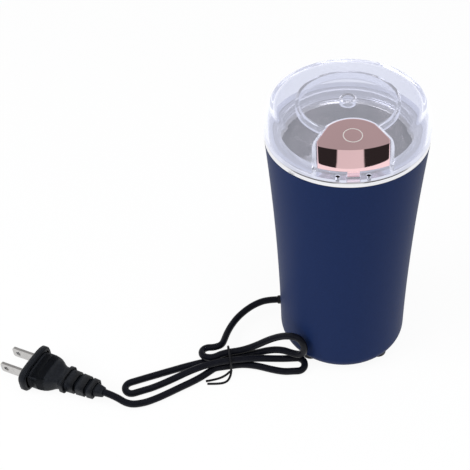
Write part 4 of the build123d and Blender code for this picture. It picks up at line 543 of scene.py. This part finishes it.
def make_plug():
    """Moulded plug: flange, rounded grip with sunk panels, and a stepped strain relief."""
    bm = bmesh.new()
    bmesh.ops.create_circle(bm, cap_ends=True, radius=0.5, segments=PLUG_SIDES)
    power = 2 / PLUG_SQUARENESS
    for vertex in bm.verts:
        for axis in (0, 1):
            share = 2 * vertex.co[axis]
            vertex.co[axis] = math.copysign(abs(share) ** power, share) / 2
    face = bm.faces[:][0]
    first = PLUG_STATIONS[0]
    bmesh.ops.scale(bm, vec=(first[1], first[2], 1), verts=bm.verts)
    for (start, width, height), (end, next_width, next_height) in zip(PLUG_STATIONS, PLUG_STATIONS[1:]):
        grown = bmesh.ops.extrude_face_region(bm, geom=[face])["geom"]
        face = next(g for g in grown if isinstance(g, bmesh.types.BMFace))
        bmesh.ops.scale(bm, vec=(next_width / width, next_height / height, 1), verts=face.verts)
        bmesh.ops.translate(bm, vec=(0, 0, end - start), verts=face.verts)
    bmesh.ops.recalc_face_normals(bm, faces=bm.faces)
    for side in (-1, 1):
        panel = [f for f in bm.faces if f.normal.y * side > GRIP_SLOPE_SHARE
                 and GRIP_SPAN[0] < f.calc_center_median().z < GRIP_SPAN[1]]
        bmesh.ops.inset_region(bm, faces=panel, thickness=GRIP_BORDER, depth=-GRIP_DEPTH)
    edges = [e for e in bm.edges if e.calc_face_angle(0) > SHARP_ANGLE]
    bmesh.ops.bevel(bm, geom=edges, offset=PLUG_EDGE, offset_type="OFFSET", affect="EDGES",
                    segments=PLUG_EDGE_STEPS, profile=0.5, material=-1, clamp_overlap=True)
    bmesh.ops.transform(bm, matrix=plug_place(), verts=bm.verts)
    return to_piece("mains_plug", bm)


def make_blades():
    """Two plug blades with rounded tips and a hole each."""
    bm = bmesh.new()
    holes = bmesh.new()
    size = Matrix.Diagonal((BLADE_THICKNESS, BLADE_HEIGHT, BLADE_LENGTH + BLADE_ROOT, 1))
    for side in (-1, 1):
        x = side * BLADE_PITCH / 2
        middle = Matrix.Translation((x, 0, (BLADE_ROOT - BLADE_LENGTH) / 2))
        bmesh.ops.create_cube(bm, size=1, matrix=middle @ size)
        across = Matrix.Translation((x, 0, BLADE_HOLE_PLACE)) @ Matrix.Rotation(FULL_TURN / 4, 4, "Y")
        bmesh.ops.create_cone(holes, cap_ends=True, segments=4 * ROUND_STEPS, radius1=BLADE_HOLE,
                              radius2=BLADE_HOLE, depth=BLADE_THICKNESS + 2 * CUT, matrix=across)
    tips = [e for e in bm.edges if max(v.co.z for v in e.verts) < 0 and e.verts[0].co.x != e.verts[1].co.x]
    bmesh.ops.bevel(bm, geom=tips, offset=BLADE_CORNER, offset_type="OFFSET", affect="EDGES",
                    segments=BLADE_CORNER_STEPS, profile=0.5, material=-1)
    for solid in (bm, holes):
        bmesh.ops.transform(solid, matrix=plug_place(), verts=solid.verts)
    return combine(to_piece("plug_blades", bm), to_piece("holes", holes), "DIFFERENCE")


def flare(inset):
    """Section points up the body's flared side, moved in by an inset."""
    rise = HOUSING_TOP - FOOT_HEIGHT - BASE_EDGE
    out = RIM_RADIUS - BASE_RADIUS
    bend = (rise ** 2 + out ** 2) / (2 * out)
    heights = [rise * i / ARC_STEPS for i in range(ARC_STEPS + 1)]
    start = BASE_RADIUS - inset + bend
    return [(start - math.sqrt(bend ** 2 - h ** 2), FOOT_HEIGHT + BASE_EDGE + h) for h in heights]


def lower_edge(inset):
    """Section points round the body's lower edge from the base plate's joint."""
    radius = BASE_EDGE - inset
    centre = BASE_RADIUS - BASE_EDGE
    first = math.asin((SPLIT_RADIUS - centre) / radius)
    angles = [first + (FULL_TURN / 4 - first) * i / ROUND_STEPS for i in range(ROUND_STEPS)]
    level = FOOT_HEIGHT + BASE_EDGE
    return [(centre + radius * math.sin(a), level - radius * math.cos(a)) for a in angles]


def make_body():
    """Flared body shell."""
    outside = lower_edge(0) + flare(0)
    inside = lower_edge(HOUSING_WALL) + flare(HOUSING_WALL)
    return turned("body_shell", outside + inside[::-1])


def make_ring():
    """Polished rim ring with the switch rod's slot."""
    ring = turned("rim_band", rounded(RING_SECTION, RING_ROUNDS))
    width, depth, y = ROD_SLOT
    return combine(ring, bar("slot", width, depth, y, RING_SPAN[0] - CUT, RING_SPAN[1] + CUT), "DIFFERENCE")


def make_bowl():
    """Steel bowl with its flange, step, rounded floor and hub."""
    return turned("steel_bowl", rounded(BOWL_SECTION, BOWL_ROUNDS))


def dome_height(radius, inset):
    """Height of the lid's domed top at a radius, moved in by an inset."""
    rise = LID_TOP - LID_EDGE
    ball = (LID_TOP_RADIUS ** 2 + rise ** 2) / (2 * rise)
    return LID_TOP - ball + math.sqrt((ball - inset) ** 2 - radius ** 2)


def lid_skin(inset, low):
    """Section points from the dome's middle over the edge and shoulder down to a height."""
    top = LID_TOP_RADIUS - inset
    side = RIM_RADIUS - inset
    dome = [(top * i / ARC_STEPS, dome_height(top * i / ARC_STEPS, inset)) for i in range(ARC_STEPS + 1)]
    rounds = [0] * ARC_STEPS + [LID_TOP_ROUND, LID_SHOULDER_ROUND, 0]
    return rounded(dome + [(side, LID_SHOULDER), (side, low)], rounds)


def skin_radius(height):
    """Radius of the lid's side at a height."""
    skin = lid_skin(0, LID_BASE)
    upper, lower = next(pair for pair in zip(skin, skin[1:]) if pair[0][1] >= height >= pair[1][1])
    return upper[0] + (lower[0] - upper[0]) * (upper[1] - height) / (upper[1] - lower[1])


def rear_arc():
    """Centre and radius of the arc at the button's back."""
    sagitta = BACK_Y - REAR_Y
    radius = (REAR_HALF ** 2 + sagitta ** 2) / (2 * sagitta)
    return BACK_Y - radius, radius


def button_plan(grow):
    """Plan of the button, grown by a distance and open past the lid's front."""
    centre, radius = rear_arc()
    reach = math.asin(REAR_HALF / radius)
    plan = [(-FRONT_HALF, FRONT_LIMIT), (FRONT_HALF, FRONT_LIMIT), (FRONT_HALF, FRONT_Y)]
    for i in range(2 * ROUND_STEPS + 1):
        angle = reach * (1 - i / ROUND_STEPS)
        plan.append((radius * math.sin(angle), centre + radius * math.cos(angle)))
    plan.append((-FRONT_HALF, FRONT_Y))
    grown = []
    for i, point in enumerate(plan):
        here = Vector(point)
        before = (here - Vector(plan[i - 1])).normalized()
        after = (Vector(plan[(i + 1) % len(plan)]) - here).normalized()
        out = Vector((before.y + after.y, -before.x - after.x)).normalized()
        grown.append(tuple(here + out * (grow / out.dot((before.y, -before.x)))))
    return grown


def make_lid():
    """Clear lid with its web, lip, rib ring, centre boss and button pocket."""
    inner = lid_skin(LID_WALL, LID_FLOOR)[::-1]
    section = lid_skin(0, LID_BASE)
    section += [(LIP_OUTER, LID_BASE), (LIP_OUTER, LIP_LOW), (LIP_INNER, LIP_LOW), (LIP_INNER, LID_FLOOR)]
    section += [p for p in inner if p[0] > RIB_OUTER]
    section += [(RIB_OUTER, dome_height(RIB_OUTER, LID_WALL)), (RIB_OUTER, RIB_LOW), (RIB_INNER, RIB_LOW),
                (RIB_INNER, dome_height(RIB_INNER, LID_WALL))]
    section += [p for p in inner if BOSS_OUTER < p[0] < RIB_INNER]
    section += [(BOSS_OUTER, dome_height(BOSS_OUTER, LID_WALL)), (BOSS_OUTER, BOSS_LOW),
                (BOSS_INNER, BOSS_LOW), (BOSS_INNER, dome_height(BOSS_INNER, LID_WALL)),
                (0, dome_height(0, LID_WALL))]
    lid = turned("clear_lid", section)
    limit = turned("limit", lid_skin(LID_WALL / 2, LID_BASE) + [(0, LID_BASE)])
    walls = combine(upright("walls", button_plan(POCKET_GROW), LID_BASE, LID_TOP), limit, "INTERSECT")
    lid = combine(lid, walls, "UNION")
    lid = combine(lid, upright("pocket", button_plan(POCKET_GAP), LID_FLOOR, LID_TOP + CUT), "DIFFERENCE")
    width, depth, y = PLUNGER_SLOT
    lid = combine(lid, bar("slot", width, depth, y, LID_BASE - CUT, LID_FLOOR + CUT), "DIFFERENCE")
    for side in (-1, 1):
        x, y = PIN_PLACE
        lid = combine(lid, rod("hole", PIN_HOLE, side * x, y, LID_BASE - CUT, LID_FLOOR + CUT), "DIFFERENCE")
        x, y = SCREW_PLACE
        lid = combine(lid, rod("boss", SCREW_BOSS, side * x, y, SCREW_BOSS_LOW, SCREW_BOSS_TOP), "UNION")
    return lid


def plan_room(x, y):
    """Distance from a point to the button's plan edge, below 0 outside it."""
    centre, radius = rear_arc()
    slant = Vector((REAR_Y - FRONT_Y, FRONT_HALF - REAR_HALF)).normalized()
    room = min(FRONT_HALF - abs(x), slant.dot((FRONT_HALF - abs(x), FRONT_Y - y)))
    if y > REAR_Y:
        room = min(room, radius - math.hypot(x, y - centre))
    return room


def half_angle(radius):
    """Angle from the front at which a circle about the axis leaves the button's plan."""
    low, high = 0, BUTTON_REACH
    for _ in range(SEARCH_STEPS):
        angle = (low + high) / 2
        inside = plan_room(radius * math.sin(angle), -radius * math.cos(angle)) >= 0
        low, high = (angle, high) if inside else (low, angle)
    return low


def button_rows():
    """Section points of the lid's skin from the button's back to its bottom edge."""
    back = [(s - BACK_Y, dome_height(s - BACK_Y, 0)) for s in BACK_STEPS]
    low = BUTTON_BOTTOM + EDGE_STEPS[-1]
    start = back[-1][0] + BUTTON_ROUND
    skin = [p for p in lid_skin(0, LID_BASE) if p[0] > start and p[1] > low + BUTTON_ROUND]
    return back + skin + [(skin_radius(BUTTON_BOTTOM + s), BUTTON_BOTTOM + s) for s in EDGE_STEPS[::-1]]


def column_shares(width):
    """Shares across a row, from -1 to 1, closer together near its two ends."""
    edge = [min(s / width, EDGE_SHARE * s / EDGE_STEPS[-1]) - 1 for s in EDGE_STEPS]
    inner = BUTTON_COLUMNS + 1 - 2 * len(edge)
    middle = [edge[-1] * (1 - 2 * (i + 1) / (inner + 1)) for i in range(inner)]
    return edge + middle + [-s for s in edge[::-1]]


def button_point(row, normal, share):
    """Point of the button's skin, sunk along the rounded edges."""
    radius, height = row
    angle = share * half_angle(radius)
    x, y = radius * math.sin(angle), -radius * math.cos(angle)
    room = max(0, min(plan_room(x, y), height - BUTTON_BOTTOM, BUTTON_ROUND))
    sink = BUTTON_ROUND - math.sqrt(BUTTON_ROUND ** 2 - (BUTTON_ROUND - room) ** 2)
    depth = radius - normal.x * sink
    return depth * math.sin(angle), -depth * math.cos(angle), height - normal.y * sink


def make_button():
    """Button cap: the lid's own skin inside the button's plan, with rounded edges, sides and a recess."""
    rows = button_rows()
    bm = bmesh.new()
    bmesh.ops.create_grid(bm, x_segments=BUTTON_COLUMNS, y_segments=len(rows) - 1, size=1)
    for vertex in bm.verts:
        i = round((vertex.co.y + 1) / 2 * (len(rows) - 1))
        j = round((vertex.co.x + 1) / 2 * BUTTON_COLUMNS)
        along = Vector(rows[min(i + 1, len(rows) - 1)]) - Vector(rows[max(i - 1, 0)])
        normal = Vector((-along.y, along.x)).normalized()
        width = max(rows[i][0] * half_angle(rows[i][0]), WELD)
        vertex.co = button_point(rows[i], normal, column_shares(width)[j])
    rim = [e for e in bm.edges if e.is_boundary]
    skirt = bmesh.ops.extrude_edge_only(bm, edges=rim)["geom"]
    for vertex in (g for g in skirt if isinstance(g, bmesh.types.BMVert)):
        vertex.co.z = BUTTON_BOTTOM
    bmesh.ops.remove_doubles(bm, verts=bm.verts, dist=WELD)
    bmesh.ops.dissolve_degenerate(bm, edges=bm.edges, dist=WELD)
    bmesh.ops.holes_fill(bm, edges=[e for e in bm.edges if e.is_boundary], sides=0)
    cap = to_piece("button_shell", bm)
    limit = turned("limit", lid_skin(BUTTON_WALL, LID_BASE) + [(0, LID_BASE)])
    recess = upright("recess", button_plan(-BUTTON_WALL), BUTTON_BOTTOM - CUT, BUTTON_BOTTOM + BUTTON_RECESS)
    return combine(cap, combine(recess, limit, "INTERSECT"), "DIFFERENCE")


def make_spring(name, coil, places):
    """Coil springs of one wire each, in front of the axis."""
    radius, low, high, turns = coil
    rise = (high - low - SPRING_WIRE) / (turns * SPRING_STEPS)
    bm = bmesh.new()
    for x, y in places:
        place = Matrix.Translation((x + radius, -y, low + SPRING_WIRE / 2))
        start = place @ Matrix.Rotation(FULL_TURN / 4, 4, "X")
        wire = bmesh.ops.create_circle(bm, radius=SPRING_WIRE / 2, segments=ROUND_STEPS,
                                       matrix=start)["verts"]
        edges = list({e for v in wire for e in v.link_edges})
        bmesh.ops.spin(bm, geom=wire + edges, cent=(x, -y, 0), axis=(0, 0, 1), dvec=(0, 0, rise),
                       angle=FULL_TURN * turns, steps=SPRING_STEPS * turns)
    bmesh.ops.holes_fill(bm, edges=[e for e in bm.edges if e.is_boundary], sides=0)
    return to_piece(name, bm)


def make_mark():
    """Plain thin circle on the button's top."""
    bm = bmesh.new()
    inner, outer = MARK_RADIUS - MARK_WIDTH / 2, MARK_RADIUS + MARK_WIDTH / 2
    section = [(inner, -MARK_LIFT), (outer, -MARK_LIFT), (outer, MARK_LIFT), (inner, MARK_LIFT)]
    points = [bm.verts.new((radius, 0, height)) for radius, height in section]
    edges = [bm.edges.new(pair) for pair in zip(points, points[1:] + points[:1])]
    bmesh.ops.spin(bm, geom=points + edges, cent=(0, 0, 0), axis=(0, 0, 1), angle=FULL_TURN,
                   steps=LATHE_STEPS // 2, use_merge=True)
    bmesh.ops.translate(bm, vec=(0, MARK_Y, 0), verts=bm.verts)
    for vertex in bm.verts:
        vertex.co.z += dome_height(vertex.co.xy.length, 0)
    return to_piece("button_circle", bm)


def pick(tree, operation, *sockets):
    """MAXIMUM or MINIMUM of several values, in a node tree."""
    result = sockets[0]
    for value in sockets[1:]:
        node = tree.nodes.new("ShaderNodeMath")
        node.operation = operation
        tree.links.new(result, node.inputs[0])
        tree.links.new(value, node.inputs[1])
        result = node.outputs[0]
    return result


def ramp_of(tree, value, start, end, low, high, absolute=False):
    """Value mapped smoothly between two levels, in a node tree."""
    if absolute:
        node = tree.nodes.new("ShaderNodeMath")
        node.operation = "ABSOLUTE"
        tree.links.new(value, node.inputs[0])
        value = node.outputs[0]
    node = tree.nodes.new("ShaderNodeMapRange")
    node.interpolation_type = "SMOOTHSTEP"
    for name, number in (("From Min", start), ("From Max", end), ("To Min", low), ("To Max", high)):
        node.inputs[name].default_value = number
    tree.links.new(value, node.inputs["Value"])
    return node.outputs["Result"]


def make_world():
    """White surroundings, a softer light from them, and a dim front wall with a window in reflections."""
    world = bpy.data.worlds.new("studio")
    bpy.context.scene.world = world
    world.use_nodes = True
    tree = world.node_tree
    light = tree.nodes["Background"]
    light.inputs["Color"].default_value = LIGHT_COLOUR
    light.inputs["Strength"].default_value = LIGHT_LEVEL
    plain = tree.nodes.new("ShaderNodeBackground")
    plain.inputs["Color"].default_value = (1, 1, 1, 1)
    mirror = tree.nodes.new("ShaderNodeBackground")
    mirror.inputs["Color"].default_value = MIRROR_COLOUR
    path = tree.nodes.new("ShaderNodeLightPath")
    place = tree.nodes.new("ShaderNodeTexCoord")
    way = tree.nodes.new("ShaderNodeSeparateXYZ")
    tree.links.new(place.outputs["Generated"], way.inputs["Vector"])
    x, y, z = (way.outputs[axis] for axis in "XYZ")
    window = pick(tree, "MINIMUM",
                  ramp_of(tree, x, *WINDOW_EDGE, WINDOW_LEVEL, WALL_LEVEL, absolute=True),
                  ramp_of(tree, y, *FRONT_EDGE, WINDOW_LEVEL, 0),
                  ramp_of(tree, z, *SKY_EDGE, WINDOW_LEVEL, 0))
    behind = pick(tree, "MINIMUM", ramp_of(tree, y, *FRONT_EDGE, WALL_LEVEL, BACK_LEVEL),
                  ramp_of(tree, z, *SKY_EDGE, BACK_LEVEL, SKY_LEVEL))
    above = ramp_of(tree, z, *SKY_EDGE, WALL_LEVEL, SKY_LEVEL)
    tree.links.new(pick(tree, "MAXIMUM", window, behind, above), mirror.inputs["Strength"])
    seen = tree.nodes.new("ShaderNodeMixShader")
    shown = pick(tree, "MAXIMUM", path.outputs["Is Camera Ray"], path.outputs["Is Transmission Ray"])
    tree.links.new(shown, seen.inputs["Fac"])
    tree.links.new(light.outputs[0], seen.inputs[1])
    tree.links.new(plain.outputs[0], seen.inputs[2])
    whole = tree.nodes.new("ShaderNodeMixShader")
    tree.links.new(path.outputs["Is Glossy Ray"], whole.inputs["Fac"])
    tree.links.new(seen.outputs[0], whole.inputs[1])
    tree.links.new(mirror.outputs[0], whole.inputs[2])
    tree.links.new(whole.outputs[0], tree.nodes["World Output"].inputs["Surface"])


def make_floor():
    """White floor that keeps the object's soft shadow."""
    left, right, front, back = FLOOR_EDGES
    bm = bmesh.new()
    corners = ((left, front), (right, front), (right, back), (left, back))
    bm.faces.new([bm.verts.new((x, y, 0)) for x, y in corners])
    mesh = bpy.data.meshes.new("floor")
    bm.to_mesh(mesh)
    bm.free()
    floor = link_mesh("floor", mesh)
    material = bpy.data.materials.new("floor_white")
    material.use_nodes = True
    tree = material.node_tree
    shader = tree.nodes["Principled BSDF"]
    shader.inputs["Base Color"].default_value = FLOOR_COLOUR
    shader.inputs["Roughness"].default_value = FLOOR_ROUGHNESS
    glow = tree.nodes.new("ShaderNodeEmission")
    path = tree.nodes.new("ShaderNodeLightPath")
    rays = [path.outputs[name] for name in ("Is Camera Ray", "Is Glossy Ray", "Is Transmission Ray")]
    share = tree.nodes.new("ShaderNodeMath")
    share.operation = "MULTIPLY"
    share.inputs[1].default_value = FLOOR_GLOW_SHARE
    tree.links.new(pick(tree, "MAXIMUM", *rays), share.inputs[0])
    mix = tree.nodes.new("ShaderNodeMixShader")
    tree.links.new(share.outputs[0], mix.inputs["Fac"])
    tree.links.new(shader.outputs[0], mix.inputs[1])
    tree.links.new(glow.outputs[0], mix.inputs[2])
    tree.links.new(mix.outputs[0], tree.nodes["Material Output"].inputs["Surface"])
    mesh.materials.append(material)


def make_lamps():
    """Soft studio lamps."""
    for name, place, aim, size, power in LAMPS:
        data = bpy.data.lights.new(name, "AREA")
        data.size = size
        data.energy = power
        lamp = bpy.data.objects.new(name, data)
        lamp.location = place
        lamp.rotation_euler = (Vector(aim) - Vector(place)).to_track_quat("-Z", "Y").to_euler()
        lamp.visible_glossy = False
        bpy.context.collection.objects.link(lamp)


bpy.context.scene.view_settings.view_transform = "Standard"
aim_camera()
cord = dress(make_cord(), "cord", "base", "black_rubber", "cord_lead", "cord_hank", "cord_tail")
tie = dress(make_tie(), "tie", "base", "black_rubber", "twist_tie")
plug = dress(make_plug(), "plug", "base", "black_rubber", "plug_body")
blades = dress(make_blades(), "prong", "base", "prong_brass", "plug_prongs")
paint_solids()
dress(make_body(), "navy", "base", "navy_body", "housing")
dress(make_ring(), "ring", "base", "ring_steel", "rim_ring")
dress(make_bowl(), "bowl", "base", "bowl_steel", "grinding_bowl")
dress(make_lid(), "clear", "lid", "clear_lid", "lid_shell").visible_shadow = False
dress(make_button(), "rose", "button", "rose_gold", "button_cap")
dress(make_mark(), "mark", "button", "rose_gold")
x, y = SCREW_PLACE
springs = dress(make_spring("button_coils", BUTTON_SPRING, [(-x, y), (x, y)]), "steel", "lid", "ring_steel",
                "button_springs")
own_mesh(springs)
x, y = ROD_SPRING_PLACE
spring = dress(make_spring("rod_coil", ROD_SPRING, [(x, y)]), "steel", "base", "ring_steel", "rod_spring")
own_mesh(spring)
make_world()
make_floor()
make_lamps()
